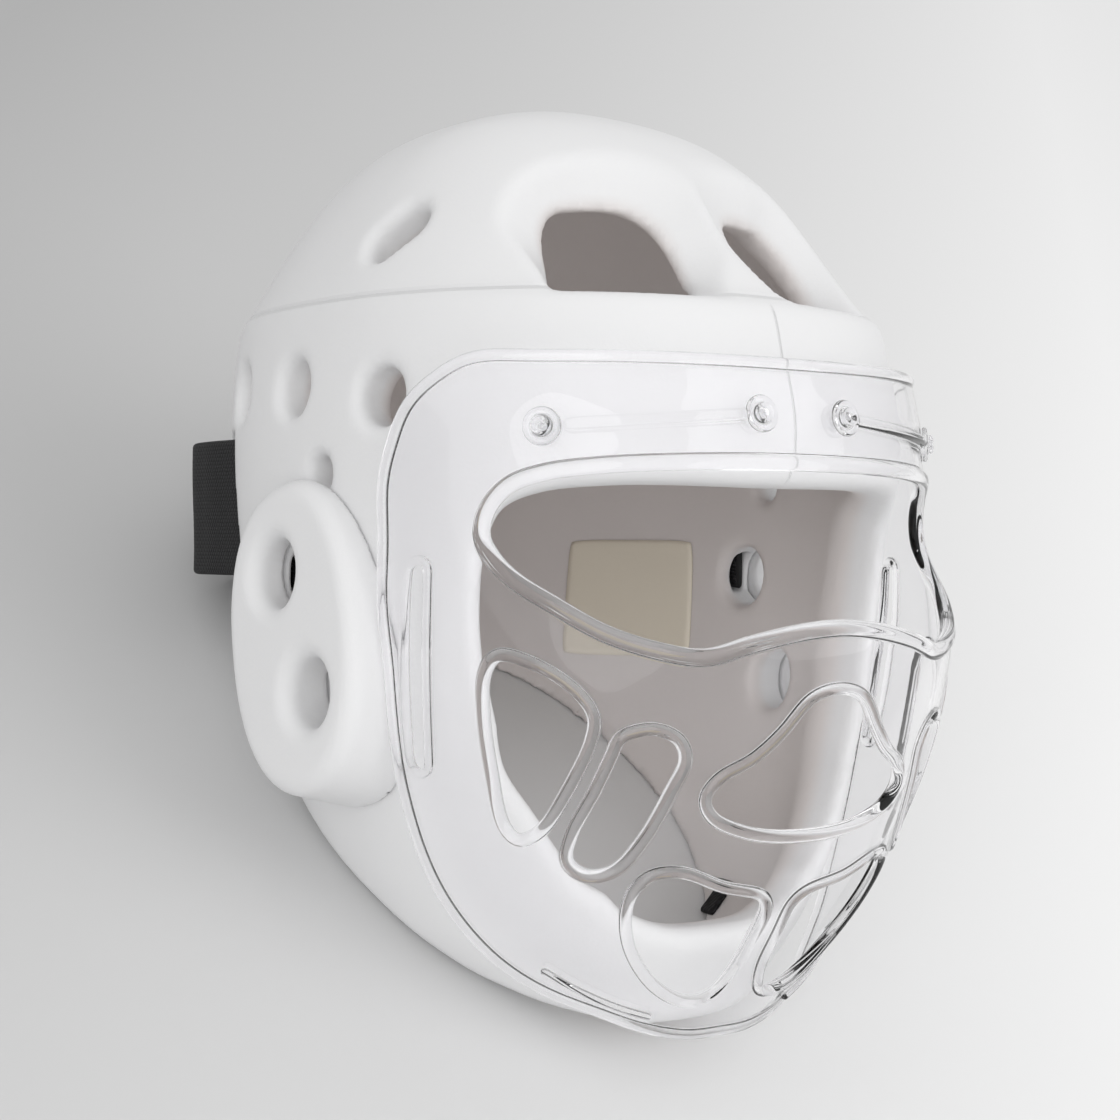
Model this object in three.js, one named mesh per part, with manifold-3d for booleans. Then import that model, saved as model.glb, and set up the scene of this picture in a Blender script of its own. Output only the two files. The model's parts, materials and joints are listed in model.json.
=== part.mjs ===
import * as THREE from 'three';
import { mergeVertices } from 'three/addons/utils/BufferGeometryUtils.js';
import Module from 'manifold-3d';

// Sparring headgear with a clear face shield, in millimetres.
// It is modelled as worn: +Z up, the wearer's face towards -Y, the wearer's right hand at -X,
// and z = 0 at the lowest point of the chin. At the end it is tipped back onto its neck rim,
// as it rests on a table by itself.

// Shell
const shellHeight = 282.5;
const shellHalfWidth = 97;
const shellFront = 112.5;
const shellRear = 114;
const shellSquareness = 2.35;
const foamThickness = 15;
const crownThickness = 15;

// Neck rim: level at the chin, then one straight slope up to the nape
const rimPitch = 39.5;
const rimKneeForward = 14;
const rimKneeHeight = 23;

// Face opening in the foam
const openingTop = 0.5642 * shellHeight;
const openingBottom = 0.1062 * shellHeight;
const openingHalfWidth = 0.8062 * shellHalfWidth;
const openingSplay = 0.0037;
const openingSplayDepth = 75;

// Crown vents, one on each side of the middle
const ventTurn = 26.5;
const ventHalfWidth = 20;
const ventSill = 0.7611 * shellHeight;
const ventHeight = 25;
const ventFlare = 5;

// Air holes with a rounded mouth
const airHoleRadius = 7.5;
const airHoleMouth = 11;
const airHoleMouthDepth = 5;
const slotLength = 24.5;
const slotWidth = 11;
const slotLean = 42;

// Ear cups
const earForward = 4.5;
const earHeight = 0.3876 * shellHeight;
const earRaise = 11;
const earFaceOut = shellHalfWidth + earRaise;
const earRoot = 0.62 * shellHalfWidth;
const earHalfLength = 32.5;
const earHalfHeight = 46;
const earLean = 14;
const earLeanIn = 3;
const earToe = 3;
const earEdgeRound = 5;
const earHoleRadius = 8.5;
const earHoleMouth = 11.5;
const earHoleMouthDepth = 7;

// Face shield, a clear sheet with round beads
const shieldThickness = 2.2;
const shieldSquareness = 2.5;
const shieldStandoff = 3;
const shieldBulge = 24;
const shieldTop = 0.6888 * shellHeight;
const shieldBottom = -0.0053 * shellHeight;
const shieldWrap = 76;
const beadRadius = 2.2;
const eyeBeadRadius = 2.6;
const rodRadius = 1;
const eyeTop = 0.5894 * shellHeight;
const eyeBottom = 0.3982 * shellHeight;
const eyeHalfWidth = 0.8763 * shellHalfWidth;
const mouthHalfWidth = 0.3814 * shellHalfWidth;
const mouthTop = 0.3646 * shellHeight;
const mouthBottom = 0.2142 * shellHeight;
const sideSlotHalfWidth = 3.8;
const sideSlotTop = 0.4903 * shellHeight;
const sideSlotBottom = 0.2708 * shellHeight;
const sideSlotForward = 0.48 * shellFront;
const sideSlotSlant = 7;

// Screws that hold the shield at the brow
const screwHeadRadius = 5;
const screwHeadHeight = 2.4;
const screwShankRadius = 1.6;
const screwLength = 12;
const screwInnerSide = 0.1649 * shellHalfWidth;
const screwInnerHeight = 0.6354 * shellHeight;
const screwOuterSide = 0.7526 * shellHalfWidth;
const screwOuterHeight = 0.6195 * shellHeight;

// Rear strap
const strapHeight = 44.5;
const strapThickness = 3;
const strapBottom = 0.4708 * shellHeight;
const strapRear = shellRear + strapThickness;

// Blank patch on the inner wall
const patchWidth = 50;
const patchHeight = 42;
const patchThickness = 0.8;
const patchTurn = 125;
const patchMiddle = 0.4389 * shellHeight;

// End of the chin strap on the inner wall of the jaw
const chinEndWidth = 12;
const chinEndHeight = 17;
const chinEndThickness = 1.8;
const chinEndTurn = 64;
const chinEndMiddle = 0.112 * shellHeight;

// Gap that touching pieces keep
const clearance = 0.3;

// How far a facet may leave its curved surface when neighbouring facets are merged
const facetTolerance = 0.1;

// Colours
const foamWhite = 0xf1f0f0;
const shieldClear = 0xdfe2ea;
const strapBlack = 0x17171a;
const patchCream = 0xe6dfcc;

const shellSections = [
  // height share, half-width share, front share, rear share
  [-0.050, 0.330, 0.56, 0.06],
  [0.000, 0.450, 0.64, 0.12],
  [0.100, 0.715, 0.755, 0.37],
  [0.220, 0.866, 0.855, 0.61],
  [0.360, 0.955, 0.935, 0.83],
  [0.500, 0.990, 0.985, 0.965],
  [0.620, 1.000, 1.000, 1.000],
  [0.700, 0.985, 0.955, 1.000],
  [0.752, 0.962, 0.915, 0.985],
  [0.768, 0.930, 0.850, 0.968],
  [0.850, 0.800, 0.700, 0.825],
  [0.915, 0.665, 0.535, 0.680],
  [0.960, 0.510, 0.370, 0.510],
  [0.988, 0.290, 0.190, 0.270],
];

const shieldSections = [
  // height share of the shield, side bulge share, front bulge share, wrap share
  [0.000, 0.10, 0.28, 0.11],
  [0.018, 0.10, 0.29, 0.33],
  [0.043, 0.12, 0.33, 0.48],
  [0.081, 0.13, 0.38, 0.67],
  [0.127, 0.13, 0.46, 0.78],
  [0.195, 0.13, 0.62, 0.87],
  [0.269, 0.12, 0.74, 0.92],
  [0.388, 0.11, 0.88, 0.955],
  [0.475, 0.085, 0.95, 0.965],
  [0.563, 0.07, 0.98, 0.97],
  [0.650, 0.05, 0.78, 0.975],
  [0.736, 0.02, 0.45, 0.96],
  [0.825, 0.00, 0.14, 0.95],
  [0.881, 0.00, 0.03, 0.92],
  [0.937, 0.00, 0.01, 0.88],
  [0.972, 0.00, 0.00, 0.81],
  [1.000, 0.00, 0.00, 0.72],
];

const faceOpening = [
  // half-width share, height share between the bottom and the top of the opening
  [0.000, 0.000],
  [0.235, 0.010],
  [0.420, 0.058],
  [0.480, 0.093],
  [0.580, 0.131],
  [0.780, 0.286],
  [0.885, 0.379],
  [0.930, 0.487],
  [0.978, 0.610],
  [1.000, 0.742],
  [0.990, 0.862],
  [0.950, 0.943],
  [0.840, 0.981],
  [0.600, 1.000],
  [0.000, 1.000],
];

const ventOutline = [
  // share of the half width, share of the height
  [-1.00, 0.00],
  [-1.00, 0.70],
  [-0.82, 0.94],
  [-0.45, 1.00],
  [0.15, 1.00],
  [0.55, 0.84],
  [0.85, 0.45],
  [1.00, 0.00],
];

const airHoles = [
  // turn from the front in degrees, height share of the shell, size share
  [74.5, 0.6566, 1.00],
  [95, 0.6726, 1.00],
  [114, 0.6761, 1.00],
  [85.5, 0.5788, 0.72],
];
const slotTurn = 75;
const slotHeight = 0.8319 * shellHeight;

const earHoles = [
  // forward of the cup's middle, above the cup's middle
  [-5, 20.5],
  [7, -18],
];

const eyeLower = [
  // half-width share, height share between the lowest point and the top
  [1.000, 0.600],
  [0.985, 0.480],
  [0.955, 0.380],
  [0.886, 0.260],
  [0.780, 0.120],
  [0.656, 0.037],
  [0.518, 0.000],
  [0.360, 0.065],
  [0.168, 0.120],
  [0.000, 0.139],
];
const eyeUpper = [
  [0.985, 0.735],
  [0.938, 0.862],
  [0.862, 0.926],
  [0.727, 0.963],
  [0.427, 0.990],
];

const mouthOutline = [
  // half-width share, height share of the mouth vent, right half from top to bottom
  [0.10, 1.000],
  [0.28, 0.940],
  [0.50, 0.720],
  [0.70, 0.560],
  [0.93, 0.440],
  [1.00, 0.300],
  [0.90, 0.170],
  [0.60, 0.060],
  [0.25, 0.010],
];

// Cheek and bottom vents of the wearer's left side, as shares of the shell's half width and height
const cheekVent = [
  [0.864, 0.3982], [0.809, 0.3912], [0.731, 0.3664], [0.689, 0.3416], [0.684, 0.3168],
  [0.703, 0.2673], [0.724, 0.2265], [0.753, 0.2142], [0.784, 0.2265], [0.835, 0.2832],
  [0.870, 0.3434], [0.878, 0.3788],
];
const cheekSlot = [
  [0.624, 0.3221], [0.557, 0.3299], [0.492, 0.3204], [0.460, 0.2991], [0.476, 0.2690],
  [0.511, 0.2177], [0.553, 0.1858], [0.608, 0.1805], [0.656, 0.1947], [0.668, 0.2212],
  [0.652, 0.2673], [0.637, 0.3009],
];
const bottomVent = [
  [0.477, 0.1345], [0.490, 0.1646], [0.458, 0.1823], [0.381, 0.1841], [0.239, 0.1664],
  [0.082, 0.1529], [0.047, 0.1398], [0.045, 0.1062], [0.054, 0.0655], [0.093, 0.0407],
  [0.175, 0.0354], [0.302, 0.0566], [0.419, 0.0973],
];

const screwPlaces = [
  // name, side, height
  ['right_inner', -screwInnerSide, screwInnerHeight],
  ['right_outer', -screwOuterSide, screwOuterHeight],
  ['left_inner', screwInnerSide, screwInnerHeight],
  ['left_outer', screwOuterSide, screwOuterHeight],
];

const strapRoute = [
  // side share of the shell's half width, backward share of the strap's rear reach; right half
  [-0.920, -0.08],
  [-0.922, 0.09],
  [-0.897, 0.26],
  [-0.862, 0.41],
  [-0.866, 0.56],
  [-0.861, 0.71],
  [-0.809, 0.86],
  [-0.619, 0.97],
  [-0.330, 1.00],
  [0.000, 1.00],
];

// Resolution
const shellSides = 32;
const shellRows = 18;
const innerRows = 9;
const shieldColumns = 14;
const beadStep = 20;
const beadSides = 5;

const wasm = await Module();
wasm.setup();

// Smooth, never overshooting interpolation of one table column over its first column.
function columnCurve(rows, column) {
  const xs = rows.map((row) => row[0]);
  const ys = rows.map((row) => row[column]);
  const slopes = [];
  for (let i = 0; i < xs.length - 1; i += 1) {
    slopes.push((ys[i + 1] - ys[i]) / (xs[i + 1] - xs[i]));
  }
  const tangents = xs.map((x, i) => {
    if (i === 0) return slopes[0];
    if (i === xs.length - 1) return slopes[slopes.length - 1];
    if (slopes[i - 1] * slopes[i] <= 0) return 0;
    return 2 * slopes[i - 1] * slopes[i] / (slopes[i - 1] + slopes[i]);
  });
  return (x) => {
    const at = Math.min(Math.max(x, xs[0]), xs[xs.length - 1]);
    let i = 0;
    while (i < xs.length - 2 && at > xs[i + 1]) i += 1;
    const width = xs[i + 1] - xs[i];
    const t = (at - xs[i]) / width;
    const h00 = (1 + 2 * t) * (1 - t) * (1 - t);
    const h10 = t * (1 - t) * (1 - t);
    const h01 = t * t * (3 - 2 * t);
    const h11 = t * t * (t - 1);
    return h00 * ys[i] + h10 * width * tangents[i] + h01 * ys[i + 1] + h11 * width * tangents[i + 1];
  };
}

const signedPower = (value, power) => Math.sign(value) * Math.abs(value) ** power;

// Point of a rounded section: turn 0 looks forward (-Y), 90 degrees to the wearer's left (+X).
function sectionPoint(half, front, rear, squareness, turn) {
  const s = Math.sin(turn);
  const c = Math.cos(turn);
  const side = half * signedPower(s, 2 / squareness);
  const forward = (c > 0 ? front : rear) * signedPower(c, 2 / squareness);
  return [side, -forward];
}

const halfShare = columnCurve(shellSections, 1);
const frontShare = columnCurve(shellSections, 2);
const rearShare = columnCurve(shellSections, 3);

// Half width, front and rear reach of the shell's outside at a height.
function shellSize(height) {
  const share = height / shellHeight;
  return {
    half: shellHalfWidth * halfShare(share),
    front: shellFront * frontShare(share),
    rear: shellRear * rearShare(share),
  };
}

function geometryFromRings(rings, poleTop) {
  const sides = rings[0].length;
  const positions = rings.flat(2);
  const triangles = [];
  for (let i = 0; i < rings.length - 1; i += 1) {
    for (let j = 0; j < sides; j += 1) {
      const k = (j + 1) % sides;
      const a = i * sides + j;
      const b = i * sides + k;
      const c = (i + 1) * sides + k;
      const d = (i + 1) * sides + j;
      triangles.push(a, b, c, a, c, d);
    }
  }
  const bottom = positions.length / 3;
  positions.push(0, rings[0].reduce((sum, p) => sum + p[1], 0) / sides, rings[0][0][2]);
  positions.push(...poleTop);
  const last = (rings.length - 1) * sides;
  for (let j = 0; j < sides; j += 1) {
    const k = (j + 1) % sides;
    triangles.push(bottom, k, j, bottom + 1, last + j, last + k);
  }
  const geometry = new THREE.BufferGeometry();
  geometry.setAttribute('position', new THREE.Float32BufferAttribute(positions, 3));
  geometry.setIndex(triangles);
  return geometry;
}

// The shell's form grown by an amount (negative: shrunk), closed at the crown.
function shellForm(grow, crownGrow, rows) {
  const lowest = shellSections[0][0];
  const highest = shellSections[shellSections.length - 1][0];
  const rings = [];
  for (let i = 0; i <= rows; i += 1) {
    const t = i / rows;
    const share = lowest + (highest - lowest) * (1 - (1 - t) ** 1.25);
    const size = shellSize(share * shellHeight);
    const taper = Math.max(0, share - 0.62) / 0.38;
    const height = share * (shellHeight + crownGrow * taper);
    const ring = [];
    for (let j = 0; j < shellSides; j += 1) {
      const turn = j / shellSides * 2 * Math.PI;
      const half = Math.max(size.half + grow, 3);
      const front = Math.max(size.front + grow, 3);
      const rear = Math.max(size.rear + grow, 3);
      const point = sectionPoint(half, front, rear, shellSquareness, turn);
      ring.push([point[0], point[1], height]);
    }
    rings.push(ring);
  }
  return geometryFromRings(rings, [0, 0, shellHeight + crownGrow]);
}

function solidOf(geometry) {
  const bare = geometry.clone();
  bare.deleteAttribute('normal');
  bare.deleteAttribute('uv');
  const welded = mergeVertices(bare, 1e-4);
  const mesh = new wasm.Mesh({
    numProp: 3,
    vertProperties: new Float32Array(welded.attributes.position.array),
    triVerts: new Uint32Array(welded.index.array),
  });
  return new wasm.Manifold(mesh);
}

// The solid with neighbouring facets merged where that hardly changes its form.
const merged = (solid) => solid.asOriginal().simplify(facetTolerance);

function geometryOf(solid) {
  const mesh = solid.getMesh();
  const geometry = new THREE.BufferGeometry();
  geometry.setAttribute('position', new THREE.BufferAttribute(mesh.vertProperties, 3));
  geometry.setIndex(new THREE.BufferAttribute(mesh.triVerts, 1));
  geometry.computeVertexNormals();
  return geometry;
}

// A closed outline given as [across, height] pushed along local depth, then placed.
// Local axes: across = X, height = Z, depth = -Y before the turn about Z.
function prism(outline, from, to, turn = 0) {
  const shape = new THREE.Shape(outline.map(([u, v]) => new THREE.Vector2(u, v)));
  const geometry = new THREE.ExtrudeGeometry(shape, { depth: to - from, bevelEnabled: false });
  geometry.translate(0, 0, from);
  geometry.rotateX(Math.PI / 2);
  geometry.rotateZ(turn);
  return geometry;
}

// A frustum between two outlines of equal length at two depths in front of the middle.
function frustum(inner, outer, innerDepth, outerDepth, turn) {
  const count = inner.length;
  const positions = [];
  inner.forEach(([u, v]) => positions.push(u, -innerDepth, v));
  outer.forEach(([u, v]) => positions.push(u, -outerDepth, v));
  const triangles = [];
  for (let i = 0; i < count; i += 1) {
    const k = (i + 1) % count;
    triangles.push(i, k, count + k, i, count + k, count + i);
  }
  const flat = inner.map(([u, v]) => new THREE.Vector2(u, v));
  THREE.ShapeUtils.triangulateShape(flat, []).forEach(([a, b, c]) => {
    triangles.push(a, c, b, count + a, count + b, count + c);
  });
  const geometry = new THREE.BufferGeometry();
  geometry.setAttribute('position', new THREE.Float32BufferAttribute(positions, 3));
  geometry.setIndex(triangles);
  geometry.rotateZ(turn);
  return geometry;
}

function growOutline(outline, amount) {
  const middle = outline.reduce((sum, p) => [sum[0] + p[0], sum[1] + p[1]], [0, 0]);
  const cu = middle[0] / outline.length;
  const cv = middle[1] / outline.length;
  return outline.map(([u, v]) => {
    const length = Math.hypot(u - cu, v - cv);
    return [u + (u - cu) / length * amount, v + (v - cv) / length * amount];
  });
}

// A round cutter along -Y with a wider mouth at its front end.
function flaredCutter(radius, mouth, mouthDepth, surface, behind) {
  const beyond = 25;
  const profile = [
    new THREE.Vector2(0, surface - behind),
    new THREE.Vector2(radius, surface - behind),
    new THREE.Vector2(radius, surface - mouthDepth),
    new THREE.Vector2(radius + (mouth - radius) * 0.35, surface - mouthDepth * 0.45),
    new THREE.Vector2(mouth, surface),
    new THREE.Vector2(mouth + beyond * 0.8, surface + beyond),
    new THREE.Vector2(0, surface + beyond),
  ];
  const geometry = new THREE.LatheGeometry(profile, 10);
  geometry.rotateX(Math.PI);
  return geometry;
}

const radians = (degrees) => degrees * Math.PI / 180;

// The wall at a turn and height: its place and its outward direction.
function shellFrame(turnDegrees, height) {
  const step = 0.01;
  const at = (turn, z) => {
    const size = shellSize(z);
    const point = sectionPoint(size.half, size.front, size.rear, shellSquareness, turn);
    return new THREE.Vector3(point[0], point[1], z);
  };
  const turn = radians(turnDegrees);
  const here = at(turn, height);
  const across = at(turn + step, height).sub(at(turn - step, height));
  const upward = at(turn, height + 2).sub(at(turn, height - 2));
  const outward = across.clone().cross(upward).normalize();
  return { here, outward };
}

// Places a cutter made along -Y so that its surface level lies on the wall, square to it.
function placeOnWall(geometry, frame, roll = 0) {
  const up = new THREE.Vector3(0, 0, 1);
  const back = frame.outward.clone().negate();
  const side = back.clone().cross(up).normalize();
  const rise = side.clone().cross(back).normalize();
  const matrix = new THREE.Matrix4().makeBasis(side, back, rise);
  geometry.rotateY(roll);
  geometry.applyMatrix4(matrix);
  geometry.translate(frame.here.x, frame.here.y, frame.here.z);
  return geometry;
}

function stadium(length, width, pointsPerEnd) {
  const half = length / 2 - width / 2;
  const outline = [];
  for (let i = 0; i <= pointsPerEnd; i += 1) {
    const turn = -Math.PI / 2 + i / pointsPerEnd * Math.PI;
    outline.push([half + width / 2 * Math.cos(turn), width / 2 * Math.sin(turn)]);
  }
  return outline.concat(outline.map(([u, v]) => [-u, -v]));
}

function ellipse(halfLength, halfHeight, points) {
  const outline = [];
  for (let i = 0; i < points; i += 1) {
    const turn = i / points * 2 * Math.PI;
    outline.push([halfLength * Math.cos(turn), halfHeight * Math.sin(turn)]);
  }
  return outline;
}

const mirrored = (outline) => outline.map(([u, v]) => [-u, v]).reverse();

// Ear cup, in its own frame: across = forward, height, depth = outward.
function earPlace(geometry, side) {
  geometry.rotateY(radians(-earLean));
  geometry.rotateX(radians(-earLeanIn));
  geometry.rotateZ(radians(-90 + earToe));
  if (side > 0) {
    geometry.scale(-1, 1, 1);
    flipFaces(geometry);
  }
  geometry.translate(0, -earForward, earHeight);
  return geometry;
}

function flipFaces(geometry) {
  if (!geometry.index) {
    geometry.setIndex(Array.from({ length: geometry.attributes.position.count }, (_, i) => i));
  }
  const index = geometry.index.array;
  for (let i = 0; i < index.length; i += 3) {
    const keep = index[i];
    index[i] = index[i + 1];
    index[i + 1] = keep;
  }
}

function earHoleCutters(side) {
  return earHoles.map(([forward, above]) => {
    const cutter = flaredCutter(earHoleRadius, earHoleMouth, earHoleMouthDepth, earFaceOut, earFaceOut - earRoot);
    cutter.translate(forward, 0, above);
    return solidOf(earPlace(cutter, side));
  });
}

// Shield surface
const sideBulgeShare = columnCurve(shieldSections, 1);
const frontBulgeShare = columnCurve(shieldSections, 2);
const wrapShare = columnCurve(shieldSections, 3);

function shieldSize(height) {
  const share = (height - shieldBottom) / (shieldTop - shieldBottom);
  const size = shellSize(height);
  return {
    half: size.half + shieldStandoff + shieldBulge * sideBulgeShare(share),
    front: size.front + shieldStandoff + shieldBulge * frontBulgeShare(share),
  };
}

// Middle of the shield's wall at a turn and a height, moved outwards by an offset.
function shieldPoint(turn, height, offset = 0) {
  const size = shieldSize(height);
  const point = sectionPoint(size.half + offset, size.front + offset, size.front, shieldSquareness, turn);
  return new THREE.Vector3(point[0], point[1], height);
}

// The same wall found from a side distance and a height, as seen from the front.
function shieldAt(side, height) {
  const size = shieldSize(height);
  const share = Math.min(Math.abs(side) / size.half, 1);
  const forward = size.front * (1 - share ** shieldSquareness) ** (1 / shieldSquareness);
  return new THREE.Vector3(side, -forward, height);
}

function shieldSheet() {
  const rows = shieldSections.map((row) => row[0]);
  const layers = [-shieldThickness / 2, shieldThickness / 2].map((offset) => rows.map((share) => {
    const height = shieldBottom + share * (shieldTop - shieldBottom);
    const reach = radians(shieldWrap * wrapShare(share));
    const line = [];
    for (let j = 0; j <= shieldColumns; j += 1) {
      line.push(shieldPoint(reach * (2 * j / shieldColumns - 1), height, offset));
    }
    return line;
  }));
  const columns = shieldColumns + 1;
  const positions = layers.flat(2).flatMap((p) => [p.x, p.y, p.z]);
  const layerSize = rows.length * columns;
  const triangles = [];
  const quad = (a, b, c, d) => triangles.push(a, b, c, a, c, d);
  for (let i = 0; i < rows.length - 1; i += 1) {
    for (let j = 0; j < shieldColumns; j += 1) {
      const a = i * columns + j;
      quad(a, a + columns, a + columns + 1, a + 1);
      quad(layerSize + a, layerSize + a + 1, layerSize + a + columns + 1, layerSize + a + columns);
    }
  }
  const rim = [];
  for (let j = 0; j < shieldColumns; j += 1) rim.push(j);
  for (let i = 0; i < rows.length - 1; i += 1) rim.push(i * columns + shieldColumns);
  for (let j = shieldColumns; j > 0; j -= 1) rim.push((rows.length - 1) * columns + j);
  for (let i = rows.length - 1; i > 0; i -= 1) rim.push(i * columns);
  rim.forEach((a, i) => {
    const b = rim[(i + 1) % rim.length];
    quad(a, b, layerSize + b, layerSize + a);
  });
  const geometry = new THREE.BufferGeometry();
  geometry.setAttribute('position', new THREE.Float32BufferAttribute(positions, 3));
  geometry.setIndex(triangles);
  return geometry;
}

function bead(points, radius) {
  const curve = new THREE.CatmullRomCurve3(points, true, 'centripetal');
  const steps = Math.max(10, Math.round(curve.getLength() / beadStep));
  return solidOf(new THREE.TubeGeometry(curve, steps, radius, beadSides, true));
}

function rod(points, radius) {
  const curve = new THREE.CatmullRomCurve3(points);
  const shape = new THREE.Shape();
  shape.absarc(0, 0, radius, 0, 2 * Math.PI);
  const options = { steps: 8, extrudePath: curve, curveSegments: 3 };
  return solidOf(new THREE.ExtrudeGeometry(shape, options));
}

// The bead along the whole edge of the shield.
function shieldEdge(radius) {
  const edge = [];
  const reachAt = (share) => radians(shieldWrap * wrapShare(share));
  const heightAt = (share) => shieldBottom + share * (shieldTop - shieldBottom);
  const shares = shieldSections.map((row) => row[0]);
  [-0.5, 0, 0.5].forEach((u) => edge.push(shieldPoint(reachAt(0) * u, heightAt(0))));
  shares.forEach((share) => edge.push(shieldPoint(reachAt(share), heightAt(share))));
  [0.8, 0.6, 0.4, 0.2, 0, -0.2, -0.4, -0.6, -0.8].forEach((u) => {
    edge.push(shieldPoint(reachAt(1) * u, heightAt(1)));
  });
  shares.slice().reverse().forEach((share) => {
    edge.push(shieldPoint(-reachAt(share), heightAt(share)));
  });
  return bead(edge, radius);
}

function buildShield() {
  const eye = [];
  const eyeSpan = eyeTop - eyeBottom;
  const toEye = ([u, v]) => [u * eyeHalfWidth, eyeBottom + v * eyeSpan];
  const eyeHalf = eyeUpper.slice().reverse().concat(eyeLower).map(toEye);
  eye.push([0, eyeTop], ...eyeHalf);
  eye.push(...eyeHalf.slice(0, -1).reverse().map(([u, v]) => [-u, v]));
  const mouthSpan = mouthTop - mouthBottom;
  const mouthHalf = mouthOutline.map(([u, v]) => [u * mouthHalfWidth, mouthBottom + v * mouthSpan]);
  const mouth = mouthHalf.concat(mouthHalf.slice().reverse().map(([u, v]) => [-u, v]));
  const vents = [mouth];
  [cheekVent, cheekSlot, bottomVent].forEach((shares) => {
    const outline = shares.map(([u, v]) => [u * shellHalfWidth, v * shellHeight]);
    vents.push(outline, mirrored(outline));
  });
  const slot = stadium(sideSlotTop - sideSlotBottom, 2 * sideSlotHalfWidth, 4);
  const slotMiddle = (sideSlotTop + sideSlotBottom) / 2;
  const slant = sideSlotSlant / (sideSlotTop - sideSlotBottom);
  const sideSlot = slot.map(([u, v]) => [sideSlotForward + v + u * slant, slotMiddle + u]);
  const cutFrom = 0.2 * shellFront;
  const cutTo = 1.8 * shellFront;
  let solid = solidOf(shieldSheet());
  solid = solid.subtract(solidOf(prism(eye, cutFrom, cutTo)));
  vents.forEach((outline) => {
    solid = solid.subtract(solidOf(prism(outline, cutFrom, cutTo)));
  });
  [-1, 1].forEach((side) => {
    const flat = sideSlot.map(([u, v]) => [-side * u, v]);
    const cutter = prism(flat, 0.6 * shellHalfWidth, 1.4 * shellHalfWidth, side * Math.PI / 2);
    solid = solid.subtract(solidOf(cutter));
  });
  const drawn = (outline) => outline.map(([u, v]) => shieldAt(u, v));
  solid = solid.add(bead(drawn(eye), eyeBeadRadius));
  vents.forEach((outline) => {
    solid = solid.add(bead(drawn(outline), beadRadius));
  });
  [-1, 1].forEach((side) => {
    const points = sideSlot.map(([forward, height]) => {
      const size = shieldSize(height);
      const share = (forward / size.front) ** shieldSquareness;
      const out = size.half * (1 - share) ** (1 / shieldSquareness);
      return new THREE.Vector3(side * out, -forward, height);
    });
    solid = solid.add(bead(points, beadRadius * 0.8));
  });
  solid = solid.add(shieldEdge(beadRadius));
  [-1, 1].forEach((side) => {
    const [, innerSide, innerHeight] = screwPlaces.find(([name]) => name === 'left_inner');
    const [, outerSide, outerHeight] = screwPlaces.find(([name]) => name === 'left_outer');
    const points = [];
    for (let i = 0; i <= 4; i += 1) {
      const t = (i + 0.45) / 4.9;
      const across = side * (innerSide + (outerSide - innerSide) * t);
      const point = shieldAt(across, innerHeight + (outerHeight - innerHeight) * t);
      point.y -= shieldThickness / 2;
      points.push(point);
    }
    solid = solid.add(rod(points, rodRadius));
  });
  return merged(solid);
}

// A screw's frame on the shield: its place and the outward direction there.
function screwFrame(side, height) {
  const here = shieldAt(side, height);
  const across = shieldAt(side + 0.5, height).sub(shieldAt(side - 0.5, height));
  const upward = shieldAt(side, height + 1).sub(shieldAt(side, height - 1));
  const outward = across.cross(upward).normalize();
  return { here, outward };
}

function screwForm(grow) {
  const seat = shieldThickness / 2 + clearance - grow;
  const head = screwHeadRadius + grow;
  const profile = [
    new THREE.Vector2(0, -screwLength - grow),
    new THREE.Vector2(screwShankRadius + grow, -screwLength - grow),
    new THREE.Vector2(screwShankRadius + grow, seat),
    new THREE.Vector2(head, seat),
    new THREE.Vector2(head, seat + screwHeadHeight * 0.5),
    new THREE.Vector2(head * 0.75, seat + screwHeadHeight + grow),
    new THREE.Vector2(0, seat + screwHeadHeight + grow),
  ];
  const geometry = new THREE.LatheGeometry(profile, 12);
  geometry.rotateX(Math.PI);
  return geometry;
}

// The strap as a band of even thickness along its route, seen from above; the overrun makes
// it longer at both ends.
function strapForm(thickness, bottom, height, overrun = 0) {
  const right = strapRoute.map(([side, share]) => (
    new THREE.Vector3(side * shellHalfWidth, share * strapRear, 0)));
  const left = right.slice(0, -1).reverse().map((p) => new THREE.Vector3(-p.x, p.y, 0));
  const curve = new THREE.CatmullRomCurve3(right.concat(left));
  const steps = 40;
  const outer = [];
  const inner = [];
  for (let i = 0; i <= steps; i += 1) {
    const point = curve.getPointAt(i / steps);
    const along = curve.getTangentAt(i / steps);
    if (i === 0) point.addScaledVector(along, -overrun);
    if (i === steps) point.addScaledVector(along, overrun);
    outer.push([point.x + along.y * thickness / 2, point.y - along.x * thickness / 2]);
    inner.push([point.x - along.y * thickness / 2, point.y + along.x * thickness / 2]);
  }
  const shape = new THREE.Shape(outer.concat(inner.reverse()).map(([u, v]) => new THREE.Vector2(u, v)));
  const geometry = new THREE.ExtrudeGeometry(shape, { depth: height, bevelEnabled: false });
  geometry.translate(0, 0, bottom);
  return geometry;
}

function rimCutter() {
  const slope = Math.tan(radians(rimPitch));
  const far = 200;
  const outline = [
    [far, -60],
    [far, 0],
    [rimKneeForward + 46, 0],
    [rimKneeForward + 30, rimKneeHeight * 0.18],
    [rimKneeForward + 15, rimKneeHeight * 0.48],
    [rimKneeForward, rimKneeHeight],
    [-far, rimKneeHeight + (far + rimKneeForward) * slope],
    [-far, -60],
  ];
  const geometry = prism(outline.reverse(), -150, 150, -Math.PI / 2);
  return solidOf(geometry);
}

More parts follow.
